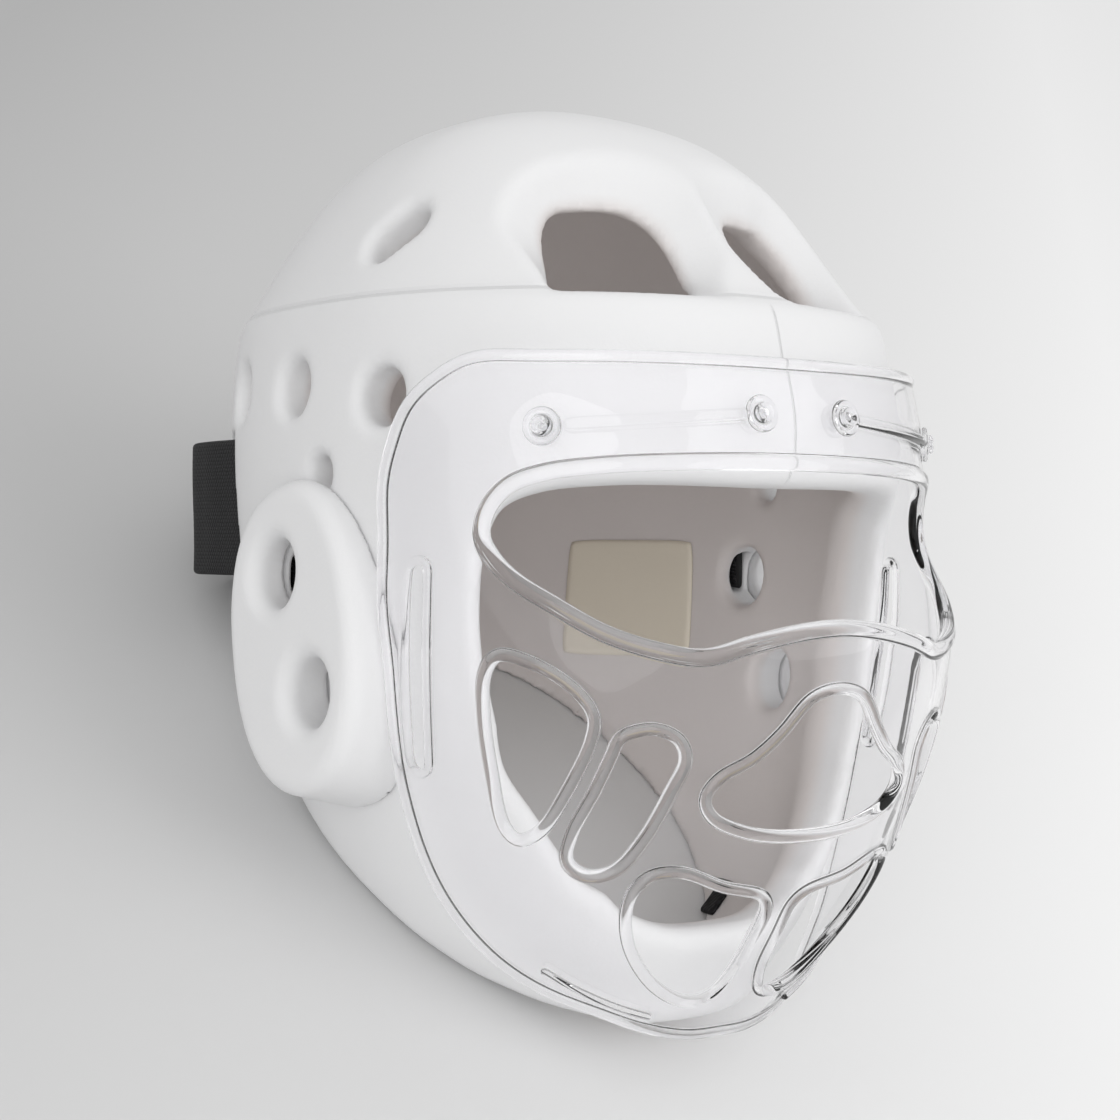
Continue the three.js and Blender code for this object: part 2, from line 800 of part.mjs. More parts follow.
function ventCutters() {
  const cutters = [];
  const through = ventOutline.map(([u, v]) => [u * ventHalfWidth, ventSill + v * ventHeight]);
  const sill = ([u, v]) => [u, Math.max(v, ventSill)];
  const wide = growOutline(through, ventFlare * 2).map(sill);
  [-1, 1].forEach((side) => {
    const inner = side < 0 ? through.slice().reverse() : mirrored(through).reverse();
    const outer = side < 0 ? wide.slice().reverse() : mirrored(wide).reverse();
    const turn = side * radians(ventTurn);
    cutters.push(solidOf(frustum(inner, inner, 0.27 * shellFront, 1.16 * shellFront, turn)));
    cutters.push(solidOf(frustum(inner, outer, 0.55 * shellFront, 0.98 * shellFront, turn)));
  });
  return cutters;
}

// The solid with room for each screw.
function withoutScrews(solid) {
  return screwPlaces.reduce((rest, [, side, height]) => {
    const cutter = placeOnWall(screwForm(clearance), screwFrame(side, height));
    return rest.subtract(solidOf(cutter));
  }, solid);
}

function buildFoam() {
  let solid = solidOf(shellForm(0, 0, shellRows));
  solid = solid.subtract(solidOf(shellForm(-foamThickness, -crownThickness, innerRows)));
  const span = openingTop - openingBottom;
  const half = faceOpening.map(([u, v]) => [u * openingHalfWidth, openingBottom + v * span]);
  const opening = half.concat(half.slice(1, -1).reverse().map(([u, v]) => [-u, v]));
  const splayed = (depth) => {
    const share = 1 + openingSplay * (depth - openingSplayDepth);
    return opening.map(([u, v]) => [u * share, v]);
  };
  const nearDepth = 0.27 * shellFront;
  const farDepth = 1.42 * shellFront;
  const cutter = frustum(splayed(nearDepth), splayed(farDepth), nearDepth, farDepth, 0);
  solid = solid.subtract(solidOf(cutter));
  ventCutters().forEach((cutter) => {
    solid = solid.subtract(cutter);
  });
  [-1, 1].forEach((side) => {
    airHoles.forEach(([turn, height, share]) => {
      const cutter = flaredCutter(airHoleRadius * share, airHoleMouth * share, airHoleMouthDepth, 0, 40);
      solid = solid.subtract(solidOf(placeOnWall(cutter, shellFrame(side * turn, height * shellHeight))));
    });
    const slot = stadium(slotLength, slotWidth, 5);
    const frame = shellFrame(side * slotTurn, slotHeight);
    const cutter = prism(slot, -60, 30);
    solid = solid.subtract(solidOf(placeOnWall(cutter, frame, side * radians(slotLean))));
    earHoleCutters(side).forEach((hole) => {
      solid = solid.subtract(hole);
    });
  });
  const slit = strapForm(
    strapThickness + 2 * clearance,
    strapBottom - clearance,
    strapHeight + 2 * clearance,
    clearance,
  );
  return withoutScrews(merged(solid).subtract(solidOf(slit)).subtract(rimCutter()));
}

function buildEarCup(side, foamSkin) {
  const shape = new THREE.Shape(ellipse(earHalfLength - earEdgeRound, earHalfHeight - earEdgeRound, 22)
    .map(([u, v]) => new THREE.Vector2(-u, v)));
  const depth = earFaceOut - earEdgeRound - earRoot;
  const geometry = new THREE.ExtrudeGeometry(shape, {
    depth,
    bevelThickness: earEdgeRound,
    bevelSize: earEdgeRound,
    bevelSegments: 2,
  });
  geometry.translate(0, 0, earRoot);
  geometry.rotateX(Math.PI / 2);
  let solid = solidOf(earPlace(geometry, side)).subtract(foamSkin);
  solid = solid.subtract(shieldEdge(beadRadius + clearance));
  earHoleCutters(side).forEach((hole) => {
    solid = solid.subtract(hole);
  });
  return solid;
}

// A thin layer on the inner wall, square to a turn about the upright axis.
function wallLayer(width, height, thickness, turn, middle) {
  const near = clearance;
  const far = clearance + thickness;
  const layer = solidOf(shellForm(-foamThickness - near, -crownThickness - near, innerRows))
    .subtract(solidOf(shellForm(-foamThickness - far, -crownThickness - far, innerRows)));
  const half = width / 2;
  const low = middle - height / 2;
  const high = middle + height / 2;
  const outline = [[-half, low], [half, low], [half, high], [-half, high]];
  return layer.intersect(solidOf(prism(outline, 0.2 * shellFront, shellFront, radians(turn))));
}

function finish(color, roughness, extra = {}) {
  return new THREE.MeshStandardMaterial({ color, roughness, metalness: 0, ...extra });
}

function addPiece(group, name, solid, material) {
  const mesh = new THREE.Mesh(geometryOf(solid), material);
  mesh.name = name;
  group.add(mesh);
}

const worn = new THREE.Group();
const foamSkin = solidOf(shellForm(clearance, clearance, shellRows));
addPiece(worn, 'foam_shell', buildFoam(), finish(foamWhite, 0.42));
addPiece(worn, 'ear_cup_right', buildEarCup(-1, foamSkin), finish(foamWhite, 0.42));
addPiece(worn, 'ear_cup_left', buildEarCup(1, foamSkin), finish(foamWhite, 0.42));
const shield = withoutScrews(buildShield());
addPiece(worn, 'face_shield', shield, finish(shieldClear, 0.08, { transparent: true, opacity: 0.35 }));
screwPlaces.forEach(([name, side, height]) => {
  const form = placeOnWall(screwForm(0), screwFrame(side, height));
  addPiece(worn, `screw_${name}`, solidOf(form), finish(shieldClear, 0.12));
});
const strap = solidOf(strapForm(strapThickness, strapBottom, strapHeight));
addPiece(worn, 'rear_strap', strap, finish(strapBlack, 0.8));
const patch = wallLayer(patchWidth, patchHeight, patchThickness, patchTurn, patchMiddle);
addPiece(worn, 'inner_patch', patch, finish(patchCream, 0.7));
const chinEnd = wallLayer(chinEndWidth, chinEndHeight, chinEndThickness, chinEndTurn, chinEndMiddle);
addPiece(worn, 'chin_strap_end', chinEnd, finish(strapBlack, 0.8));

// Tipped back onto the neck rim, with the origin under the middle of the whole.
const headgear = new THREE.Group();
headgear.add(worn);
worn.rotation.x = radians(-rimPitch);
headgear.updateMatrixWorld(true);
const bounds = new THREE.Box3().setFromObject(headgear, true);
const middle = bounds.getCenter(new THREE.Vector3());
worn.position.set(-middle.x, -middle.y, -bounds.min.z);
headgear.updateMatrixWorld(true);

export default headgear;
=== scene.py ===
import json
import math

import bpy
import numpy as np
from bpy.props import FloatProperty, FloatVectorProperty, PointerProperty
from mathutils import Matrix, Vector
from mathutils.geometry import delaunay_2d_cdt

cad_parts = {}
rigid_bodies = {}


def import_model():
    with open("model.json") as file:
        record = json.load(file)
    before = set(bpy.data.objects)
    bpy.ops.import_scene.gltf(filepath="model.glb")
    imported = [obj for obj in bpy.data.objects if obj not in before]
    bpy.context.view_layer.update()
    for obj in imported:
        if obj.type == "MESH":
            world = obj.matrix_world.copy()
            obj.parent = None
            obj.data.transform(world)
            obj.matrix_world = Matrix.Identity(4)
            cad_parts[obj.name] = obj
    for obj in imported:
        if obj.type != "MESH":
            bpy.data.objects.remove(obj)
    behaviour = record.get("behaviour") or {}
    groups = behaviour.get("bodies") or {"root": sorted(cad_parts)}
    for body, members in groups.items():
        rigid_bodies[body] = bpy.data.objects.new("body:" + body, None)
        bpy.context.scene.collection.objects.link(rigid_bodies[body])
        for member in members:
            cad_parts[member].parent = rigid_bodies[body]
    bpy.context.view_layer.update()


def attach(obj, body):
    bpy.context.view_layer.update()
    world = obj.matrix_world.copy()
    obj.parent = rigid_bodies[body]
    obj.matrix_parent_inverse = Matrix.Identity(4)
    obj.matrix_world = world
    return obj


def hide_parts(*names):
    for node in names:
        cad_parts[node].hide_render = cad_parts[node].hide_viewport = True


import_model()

bl_info = {
    "name": "Sparring headgear",
    "version": (1, 0, 0),
    "blender": (4, 5, 0),
    "location": "View3D > Sidebar > Headgear",
    "description": "Foam sparring headgear with a clear, vented face shield",
    "category": "Mesh",
}

# ---- The worn frame: millimetres, +Z up, the face towards -Y, z = 0 at the chin ----
TIP = math.radians(-39.5)
WORN_ORIGIN = np.array([0.0, -80.025, -26.652])

SHELL_HEIGHT = 282.5
SHELL_HALF = 97.0
SHELL_FRONT = 112.5
SHELL_REAR = 114.0
SHELL_SQUARENESS = 2.35
WALL = 15.0
# The neck rim: its slope behind the knee in degrees, the knee's forward place and height,
# and points forward of the knee with their share of its height.
RIM_PITCH = 39.5
RIM_KNEE = (14.0, 23.0)
RIM_EASE = [(15, 0.48), (30, 0.18), (46, 0)]
# The crown: where the hollow starts to be drawn down, and how steeply each level goes on
# rising above the top.
CROWN = dict(taper_from=0.62, rise=230.0, hollow_rise=160.0)
LEAST_REACH = 0.4

SHELL_SECTIONS = np.array([
    # height share, half-width share, front share, rear share
    [-0.050, 0.330, 0.560, 0.060],
    [0.000, 0.450, 0.640, 0.120],
    [0.100, 0.715, 0.755, 0.370],
    [0.220, 0.866, 0.855, 0.610],
    [0.360, 0.955, 0.935, 0.830],
    [0.500, 0.990, 0.985, 0.965],
    [0.620, 1.000, 1.000, 1.000],
    [0.700, 0.985, 0.955, 1.000],
    [0.752, 0.962, 0.915, 0.985],
    [0.768, 0.930, 0.850, 0.968],
    [0.850, 0.800, 0.700, 0.825],
    [0.915, 0.665, 0.535, 0.680],
    [0.960, 0.510, 0.370, 0.510],
    [0.988, 0.290, 0.190, 0.270],
    [1.000, 0.000, 0.000, 0.000],
])

# The box in which each foam piece is looked for.
SHELL_GRID = dict(side=104, along=(-122, 124), height=(-10, 290))
EAR_GRID = dict(side=(78, 113), along=(-52, 44), height=(56, 163))

OPENING = dict(top=159.4, bottom=30.0, half=78.2, splay=0.0037, depth=75.0, back=25.0)
FACE_OPENING = np.array([
    # half-width share, height share between the bottom and the top of the opening
    [0.000, 0.000], [0.235, 0.010], [0.420, 0.058], [0.480, 0.093], [0.580, 0.131],
    [0.780, 0.286], [0.885, 0.379], [0.930, 0.487], [0.978, 0.610], [1.000, 0.742],
    [0.990, 0.862], [0.950, 0.943], [0.840, 0.981], [0.600, 1.000], [0.000, 1.000],
])

VENT = dict(turn=26.5, half=20.0, sill=215.0, height=26.5, shift=3.0, reach=30.0, edge=1.6)
# The bowl round a crown vent: its depth, and how much wider than the vent it is at its
# mouth, at least and more towards the middle of the brow.
BOWL = dict(depth=13.0, flare=4.0, inward=6.0, width=44.0, height=24.0, sill=0.4, corner=1.5,
            edge=1.9)
VENT_OUTLINE = np.array([
    # share of the half width, share of the height
    [-1.00, 0.00], [-1.00, 0.70], [-0.82, 0.94], [-0.45, 1.00],
    [0.15, 1.00], [0.55, 0.84], [0.85, 0.45], [1.00, 0.00],
])

AIR_HOLES = np.array([
    # turn from the front in degrees, height, radius
    [73.5, 185.5, 8.6],
    [92.0, 190.0, 8.6],
    [111.5, 190.5, 8.6],
    [86.5, 163.5, 5.2],
])
AIR_HOLE_REACH = 38.0
SLOT = dict(turn=77.0, height=236.0, length=22.0, width=13.0, lean=42.0, reach=40.0)

EAR = dict(forward=4.5, height=109.5, face=108.0, half_length=32.5, half_height=46.0,
           lean=14.0, lean_in=3.0, toe=3.0, hole=10.3, root=48.0, squareness=2.25,
           flare=0.004, dome=0.0003, seat_round=1.1)
EAR_HOLES = [(-5.0, 20.5), (7.0, -18.0)]

SHIELD = dict(squareness=2.5, standoff=3.0, bulge=24.0, top=194.6, bottom=-1.5, wrap=76.0)
SHIELD_SECTIONS = np.array([
    # height share of the shield, side bulge share, front bulge share, wrap share
    [0.000, 0.100, 0.28, 0.110],
    [0.018, 0.100, 0.29, 0.330],
    [0.043, 0.120, 0.33, 0.480],
    [0.081, 0.130, 0.38, 0.670],
    [0.127, 0.130, 0.46, 0.780],
    [0.195, 0.130, 0.62, 0.870],
    [0.269, 0.120, 0.74, 0.920],
    [0.388, 0.110, 0.88, 0.955],
    [0.475, 0.085, 0.95, 0.965],
    [0.563, 0.070, 0.98, 0.970],
    [0.650, 0.050, 0.78, 0.975],
    [0.736, 0.020, 0.45, 0.960],
    [0.825, 0.000, 0.14, 0.950],
    [0.881, 0.000, 0.03, 0.920],
    [0.937, 0.000, 0.01, 0.880],
    [0.972, 0.000, 0.00, 0.810],
    [1.000, 0.000, 0.00, 0.720],
])

EYE = dict(top=166.5, bottom=112.5, half=85.0)
EYE_LOWER = np.array([
    # half-width share, height share, from the outer corner down to the nose
    [1.000, 0.600], [0.985, 0.480], [0.955, 0.380], [0.886, 0.260], [0.780, 0.120],
    [0.656, 0.037], [0.518, 0.000], [0.360, 0.065], [0.168, 0.120], [0.000, 0.139],
])
EYE_UPPER = np.array([
    # half-width share, height share, from the outer corner up to the middle
    [0.985, 0.735], [0.938, 0.862], [0.862, 0.926], [0.727, 0.963], [0.427, 0.990],
])
MOUTH = dict(half=37.0, top=103.0, bottom=60.5)
MOUTH_OUTLINE = np.array([
    # half-width share, height share, from the top down to the bottom
    [0.10, 1.000], [0.28, 0.940], [0.50, 0.720], [0.70, 0.560], [0.93, 0.440],
    [1.00, 0.300], [0.90, 0.170], [0.60, 0.060], [0.25, 0.010],
])
# Drawn on the +X side, as side and height.
CHEEK_VENT = np.array([
    [83.8, 112.5], [78.5, 110.5], [70.9, 103.5], [66.8, 96.5], [66.3, 89.5], [68.2, 75.5],
    [70.2, 64.0], [73.0, 60.5], [76.0, 64.0], [81.0, 80.0], [84.4, 97.0], [85.2, 107.0],
])
CHEEK_SLOT = np.array([
    [60.5, 91.0], [54.0, 93.2], [47.7, 90.5], [44.6, 84.5], [46.2, 76.0], [49.6, 61.5],
    [53.6, 52.5], [59.0, 51.0], [63.6, 55.0], [64.8, 62.5], [63.2, 75.5], [61.8, 85.0],
])
CHIN_VENT = np.array([
    [46.3, 38.0], [47.5, 46.5], [44.4, 51.5], [37.0, 52.0], [23.2, 47.0], [8.0, 43.2],
    [4.6, 39.5], [4.4, 30.0], [5.2, 18.5], [9.0, 11.5], [17.0, 10.0], [29.3, 16.0],
    [40.6, 27.5],
])
SIDE_SLOT = dict(half=3.8, top=138.5, bottom=77.5, forward=57.6, slant=5.0)
# How far each outline is averaged, and the side slots' bead as a share of the others'.
EDGE_SOFTEN, OPENING_SOFTEN = 4.0, 0.8
THIN_BEAD = 0.8
# The rows across a bead, as shares of its radius from its rim to the sheet, and how far
# the bead's round and the sheet blend.
BEAD_ROWS = np.array([-1, -0.966, -0.866, -0.707, -0.5, -0.259, 0, 0.259, 0.5, 0.68, 0.8, 0.9,
                      1.04, 1.16])
BEAD_BLEND = 0.35
# The sheet's net: its reach on the flat map, the distance of its rows and what it keeps
# clear of the beads as shares of its step, and of a ridge as a share of the ridge's radius.
NET = dict(side=120, low=-5, high=200, row=0.87, rim_gap=0.55, ridge_gap=2.2)
SCREWS = [("right_inner", -16.0, 179.5), ("right_outer", -73.0, 175.0),
          ("left_inner", 16.0, 179.5), ("left_outer", 73.0, 175.0)]
SCREW_SEAT = 1.4
SCREW_SHANK = np.array([[0, -11.9], [0.9, -11.7], [1.5, -11.0], [1.55, -6.0], [1.55, SCREW_SEAT]])
SCREW_WASHER = np.array([
    # share of the head's radius, height above the seat
    [0.94, 0], [1, 0.35], [1, 0.9], [0.94, 1.35], [0.84, 1.5], [0.74, 1.3], [0.66, 1.25],
    [0.58, 1.7]])
SCREW_HEAD = np.array([
    # share of the head's radius, share of its height
    [0.5, 1], [0.3, 1.05], [0.22, 1.0], [0.17, 0.8], [0.16, 0.45], [0, 0.42]])
ROD_SPAN = (21.5, 67.5)
# A ridge's section: distance from its line and height over the sheet, as shares of its
# radius.
RIDGE_DISTANCE = np.array([1.45, 1.1, 1.0, 0.92, 0.75, 0.5, 0.25, 0.05])
RIDGE_HEIGHT = np.array([0.0, 0.1, 0.36, 0.64, 0.92, 1.12, 1.2, 1.22])
CHIN_RIDGE_SHARE = 0.8
CHIN_RIDGE = np.array([
    [54.9, 20.87], [51.4, 18.46], [47.9, 16.22], [44.3, 14.16], [40.8, 12.28],
    [37.3, 10.57], [33.8, 9.03], [30.2, 7.68], [26.7, 6.49]])

STRAP_ROUTE = np.array([
    # side, backward share of the strap's rear reach; the -X half
    [-89.2, 0.10], [-88.6, 0.17], [-87.0, 0.26], [-83.6, 0.41], [-84.0, 0.56],
    [-83.5, 0.71], [-78.5, 0.86], [-60.0, 0.97], [-32.0, 1.00], [0.0, 1.00],
])
# The strap runs lower by its dip at the ends, from dip_from forward, and has a slight wave.
STRAP = dict(height=44.5, bottom=132.2, rear=117.0, dip=5.0, dip_from=45.0, wave=0.35,
             wave_along=17, wave_across=9)
# The strap's slit: half its width, its room over and under the strap, and its rounding.
SLIT = dict(half=3.0, above=0.8, edge=2.8)
GAP = 0.3
PATCH = dict(width=50.0, height=42.0, thickness=0.8, turn=125.0, middle=124.0, corner=0.08,
             rows=28)
CHIN_END = dict(width=7.0, height=11.0, thickness=1.6, turn=65.0, middle=26.0, corner=0.05,
                rows=16)
# Where the shell's material changes: the depth below the skin at which the inside begins, duller
# and painted darker and warmer as shade, and the heights, half width and greatest depth of the
# brow's seam.
INSIDE = dict(begins=9, spread=4)
SEAM = dict(bottom=160, top=213, half=12, deepest=-3)

# Vinyl skin: how many waves, grains and gloss changes lie on a metre.
SKIN = dict(wave=38.0, wave_height=0.7, grain=900.0, gloss=60.0)
INNER_DULLNESS = 0.2
# In metres: half width and height of the seam's line, and the worn height, half width and
# depth of the fold under the dome.
SEAM_LINE = dict(half=0.00055, rise=0.9)
FOLD_LINE = dict(height=0.2157, half=0.0011, depth=1.3)
# The weave's steps in millimetres, and its darkest and lightest share of the colour: painted
# shade in the weave's hollows and a painted sheen on its ribs.
WEAVE = dict(rib=1.2, row=1.6, dark=0.35, light=1.6)
SHADOW_CLEARNESS = 0.97

FLOOR_HALF = 20.0
FLOOR_WAY = (0.8, 0.6)
LIGHTS = [
    # name, property with its power, place, width, what it is aimed at; in metres
    ("key", "key", (0.9, -0.9, 1.5), 1.6, (0.0, -0.05, 0.1)),
    ("front", "fill", (-1.1, -0.8, 0.8), 1.4, (-0.05, 0.0, 0.12)),
]
# The camera, found by fitting the photographed outlines: in the worn frame.
CAMERA = dict(azimuth=-36.7016, elevation=0.6651, roll=0.3955, distance=716.378,
              aim=(0.0, 0.0, 133.0), focal=2188.576, centre=(557.12, 575.137), frame=1120.0)


# ---- Shapes shared by the pieces ----
def to_world(points):
    """Worn millimetres to the row frame in metres: a turn about X, then a shift."""
    return (turn_to_world(points) + WORN_ORIGIN) * 0.001


def turn_to_world(vectors):
    """Directions of the worn frame turned into the row frame."""
    x, y, z = vectors[..., 0], vectors[..., 1], vectors[..., 2]
    c, s = math.cos(TIP), math.sin(TIP)
    return np.stack([x, y * c - z * s, y * s + z * c], -1)


def table_curve(table, column, soften, squared=False):
    """A smooth curve through one column of a table.

    Between rows it is a cubic whose slope at each row is the harmonic mean of the slopes on
    its two sides. It is then averaged by a bell of the width soften. A squared curve is
    worked out on the squares, so that it closes in a round pole where it reaches zero.
    """
    x = table[:, 0]
    y = table[:, column] ** 2 if squared else table[:, column]
    slope = np.diff(y) / np.diff(x)
    both = slope[:-1] * slope[1:]
    total = np.where(both > 0, slope[:-1] + slope[1:], 1.0)
    tangent = np.concatenate([slope[:1], np.where(both > 0, 2 * both / total, 0.0), slope[-1:]])
    fine = np.linspace(x[0], x[-1], 3001)
    i = np.clip(np.searchsorted(x, fine, side="right") - 1, 0, len(x) - 2)
    w = x[i + 1] - x[i]
    t = (fine - x[i]) / w
    value = ((1 + 2 * t) * (1 - t) ** 2 * y[i] + t * (1 - t) ** 2 * w * tangent[i]
             + t * t * (3 - 2 * t) * y[i + 1] + t * t * (t - 1) * w * tangent[i + 1])
    reach = int(4 * soften / (fine[1] - fine[0]))
    if reach:
        bell = np.exp(-0.5 * (np.linspace(-4, 4, 2 * reach + 1)) ** 2)
        before = 2 * value[0] - value[reach:0:-1]
        after = 2 * value[-1] - value[-2:-reach - 2:-1]
        value = np.convolve(np.concatenate([before, value, after]), bell / bell.sum(), "valid")
    if squared:
        value = np.sqrt(np.maximum(value, 0.0))
    return fine, value


HALF_SHARE, FRONT_SHARE, REAR_SHARE = (
    table_curve(SHELL_SECTIONS, k, 0.005, True) for k in (1, 2, 3))
SIDE_BULGE, FRONT_BULGE = (table_curve(SHIELD_SECTIONS, k, 0.012) for k in (1, 2))


def at(curve, x):
    """The value of a table's curve at x, held level beyond its ends."""
    return np.interp(x, curve[0], curve[1])


def shell_size(height):
    """Half width, front and rear reach of the shell's outside at a height."""
    share = np.asarray(height) / SHELL_HEIGHT
    return (SHELL_HALF * at(HALF_SHARE, share), SHELL_FRONT * at(FRONT_SHARE, share),
            SHELL_REAR * at(REAR_SHARE, share))


def hollow_size(height, thickness):
    """The same for the shell's hollow: the outside's size less the wall, with the heights
    drawn down evenly towards the crown until the top is a wall lower."""
    shares = np.linspace(-0.05, 1.0, 600)
    taper = np.maximum(0, shares - CROWN["taper_from"]) / (1 - CROWN["taper_from"])
    share = np.interp(height, shares * (SHELL_HEIGHT - thickness * taper), shares)
    return [size - thickness for size in shell_size(share * SHELL_HEIGHT)]


def wall_frame(turn_degrees, height):
    """A point on the shell's outside and the outward direction there.

    The section is a rounded rectangle: side = half width times sin(turn) to the power
    2 / squareness, and forward likewise with the cosine.
    """
    def place(turn, z):
        half, front, rear = shell_size(z)
        s, c = math.sin(turn), math.cos(turn)
        power = 2 / SHELL_SQUARENESS
        side = half * math.copysign(abs(s) ** power, s)
        forward = (front if c > 0 else rear) * math.copysign(abs(c) ** power, c)
        return np.array([side, -forward, z])
    turn = math.radians(turn_degrees)
    here = place(turn, height)
    across = place(turn + 0.01, height) - place(turn - 0.01, height)
    upward = place(turn, height + 2) - place(turn, height - 2)
    outward = np.cross(across, upward)
    return here, outward / np.linalg.norm(outward)


def smooth_closed(points, step):
    """A closed curve through the points, at even steps: each stretch is a cubic whose ends
    have the slope between their neighbours, spaced by the square root of the distances."""
    p = np.asarray(points, float)
    before, after, beyond = np.roll(p, 1, 0), np.roll(p, -1, 0), np.roll(p, -2, 0)
    gap = lambda a, b: np.maximum(np.linalg.norm(b - a, axis=1), 1e-6)[:, None] ** 0.5
    d0, d1, d2 = gap(before, p), gap(p, after), gap(after, beyond)
    m1 = (p - before) / d0 - (after - before) / (d0 + d1) + (after - p) / d1
    m2 = (after - p) / d1 - (beyond - p) / (d1 + d2) + (beyond - after) / d2
    t = np.linspace(0, 1, 24, endpoint=False)[None, :, None]
    m1, m2 = (m1 * d1)[:, None], (m2 * d1)[:, None]
    a, b = p[:, None], after[:, None]
    dense = ((1 + 2 * t) * (1 - t) ** 2 * a + t * (1 - t) ** 2 * m1
             + t * t * (3 - 2 * t) * b + t * t * (t - 1) * m2).reshape(-1, p.shape[1])
    return even_steps(np.concatenate([dense, dense[:1]]), step)[:-1]


def run_length(line):
    """The length of a polyline up to each of its points."""
    return np.concatenate([[0], np.cumsum(np.linalg.norm(np.diff(line, axis=0), axis=1))])


def points_at(line, run, wanted):
    """Points of a polyline where its length so far has the wanted values."""
    return np.stack([np.interp(wanted, run, line[:, k]) for k in range(line.shape[1])], 1)


def even_steps(line, step, fewest=8):
    """Points at even distances along a polyline."""
    run = run_length(line)
    count = max(int(round(run[-1] / step)), fewest)
    return points_at(line, run, np.linspace(0, run[-1], count + 1))


def inside_outline(u, v, outline):
    """True where a point lies inside a closed outline, by counting the edges to its right."""
    found = np.zeros(u.shape, bool)
    for (u0, v0), (u1, v1) in zip(outline, np.roll(outline, -1, 0)):
        if v0 == v1:
            continue
        crosses = (v0 > v) != (v1 > v)
        found ^= crosses & (u < (u1 - u0) * (v - v0) / (v1 - v0) + u0)
    return found


def line_distance(u, v, line, closed):
    """Distance to a polyline: the least of the distances to its stretches."""
    best = np.full(u.shape, 1e9, np.float32)
    ends = np.roll(line, -1, 0) if closed else line[1:]
    for a, b in zip(line, ends):
        ab = b - a
        t = np.clip(((u - a[0]) * ab[0] + (v - a[1]) * ab[1]) / max(ab @ ab, 1e-9), 0, 1)
        np.minimum(best, np.hypot(u - a[0] - t * ab[0], v - a[1] - t * ab[1]), out=best)
    return best


class OutlineMap:
    """Signed distance to a closed outline, negative inside, kept on a flat grid."""

    def __init__(self, outline, margin, cell=1.0):
        self.low = outline.min(0) - margin
        count = np.ceil((outline.max(0) + margin - self.low) / cell).astype(int) + 1
        self.cell = cell
        u, v = np.meshgrid(*(low + cell * np.arange(n) for low, n in zip(self.low, count)),
                           indexing="ij")
        distance = line_distance(u, v, outline, True)
        signed = np.where(inside_outline(u, v, outline), -distance, distance)
        self.grid = signed.astype(np.float32)

    def __call__(self, u, v):
        a = np.clip((u - self.low[0]) / self.cell, 0, self.grid.shape[0] - 1.001)
        b = np.clip((v - self.low[1]) / self.cell, 0, self.grid.shape[1] - 1.001)
        i, j = a.astype(np.int32), b.astype(np.int32)
        s, t = a - i, b - j
        g = self.grid
        return ((g[i, j] * (1 - s) + g[i + 1, j] * s) * (1 - t)
                + (g[i, j + 1] * (1 - s) + g[i + 1, j + 1] * s) * t)


def round_meet(a, b, radius):
    """What lies inside both a and b, with their meeting edge rounded: distance to the circle
    of that radius that touches both."""
    u, v = a + radius, b + radius
    beyond = np.hypot(np.maximum(u, 0), np.maximum(v, 0))
    return np.minimum(np.maximum(u, v), 0) + beyond - radius


def as_distance(level, cell):
    """A level field turned into distance near its surface: level divided by its steepness."""
    gx, gy, gz = np.gradient(level, cell)
    return level / np.maximum(np.sqrt(gx * gx + gy * gy + gz * gz), 1e-3)


def section_level(x, y, half, front, rear, beyond, steep):
    """r squared less the square of the section's radius in that direction; beyond the crown
    it goes on rising at the rate steep."""
    r = np.maximum(np.hypot(x, y), 1e-2)
    reach = np.maximum(np.where(y < 0, front, rear), LEAST_REACH)
    n = SHELL_SQUARENESS
    across = (((np.abs(x) / r + 1e-4) / np.maximum(half, LEAST_REACH)) ** n
              + (np.abs(y) / r / reach) ** n)
    return r * r - across ** (-2 / n) + steep * np.maximum(beyond, 0)


def shell_levels(x, y, z, cell, thickness):
    """Distance to the shell's outside and to its hollow, both negative inside them."""
    outside = section_level(x, y, *shell_size(z), z - SHELL_HEIGHT, CROWN["rise"])
    hollow = section_level(x, y, *hollow_size(z, thickness), z - (SHELL_HEIGHT - thickness),
                           CROWN["hollow_rise"])
    return as_distance(outside, cell), as_distance(hollow, cell)


def rim_level(y, z):
    """Distance below the neck rim: level under the chin, then one straight slope, with the
    line between them averaged by a bell."""
    end = 220
    forward = np.linspace(-end, end, 8 * end + 1)
    knee, height = RIM_KNEE
    back = [-end, height + (end + knee) * math.tan(math.radians(RIM_PITCH))]
    ease = [[knee + ahead, height * share] for ahead, share in RIM_EASE]
    table = np.array([back, [knee, height], *ease, [end, 0]])
    line = np.interp(forward, table[:, 0], table[:, 1])
    reach = 24
    bell = np.exp(-0.5 * np.linspace(-3, 3, 2 * reach + 1) ** 2)
    line = np.convolve(np.pad(line, reach, "edge"), bell / bell.sum(), "valid")
    slope = np.gradient(line, forward)
    level = np.interp(-y, forward, line) - z
    return level * np.interp(-y, forward, 1 / np.hypot(1, slope))


def ear_local(x, y, z):
    """A point of the +X side in the ear cup's own frame: forward, up, outward."""
    px, py, pz = -x, y + EAR["forward"], z - EAR["height"]
    t = math.radians(90 - EAR["toe"])
    px, py = px * math.cos(t) - py * math.sin(t), px * math.sin(t) + py * math.cos(t)
    t = math.radians(EAR["lean_in"])
    py, pz = py * math.cos(t) - pz * math.sin(t), py * math.sin(t) + pz * math.cos(t)
    t = math.radians(EAR["lean"])
    px, pz = px * math.cos(t) + pz * math.sin(t), -px * math.sin(t) + pz * math.cos(t)
    return px, pz, -py


def ear_hole_levels(across, above, outward):
    """Distance to the ear cup's two round bores."""
    return [np.maximum(np.hypot(across - a, above - b) - EAR["hole"], EAR["root"] - outward)
            for a, b in EAR_HOLES]


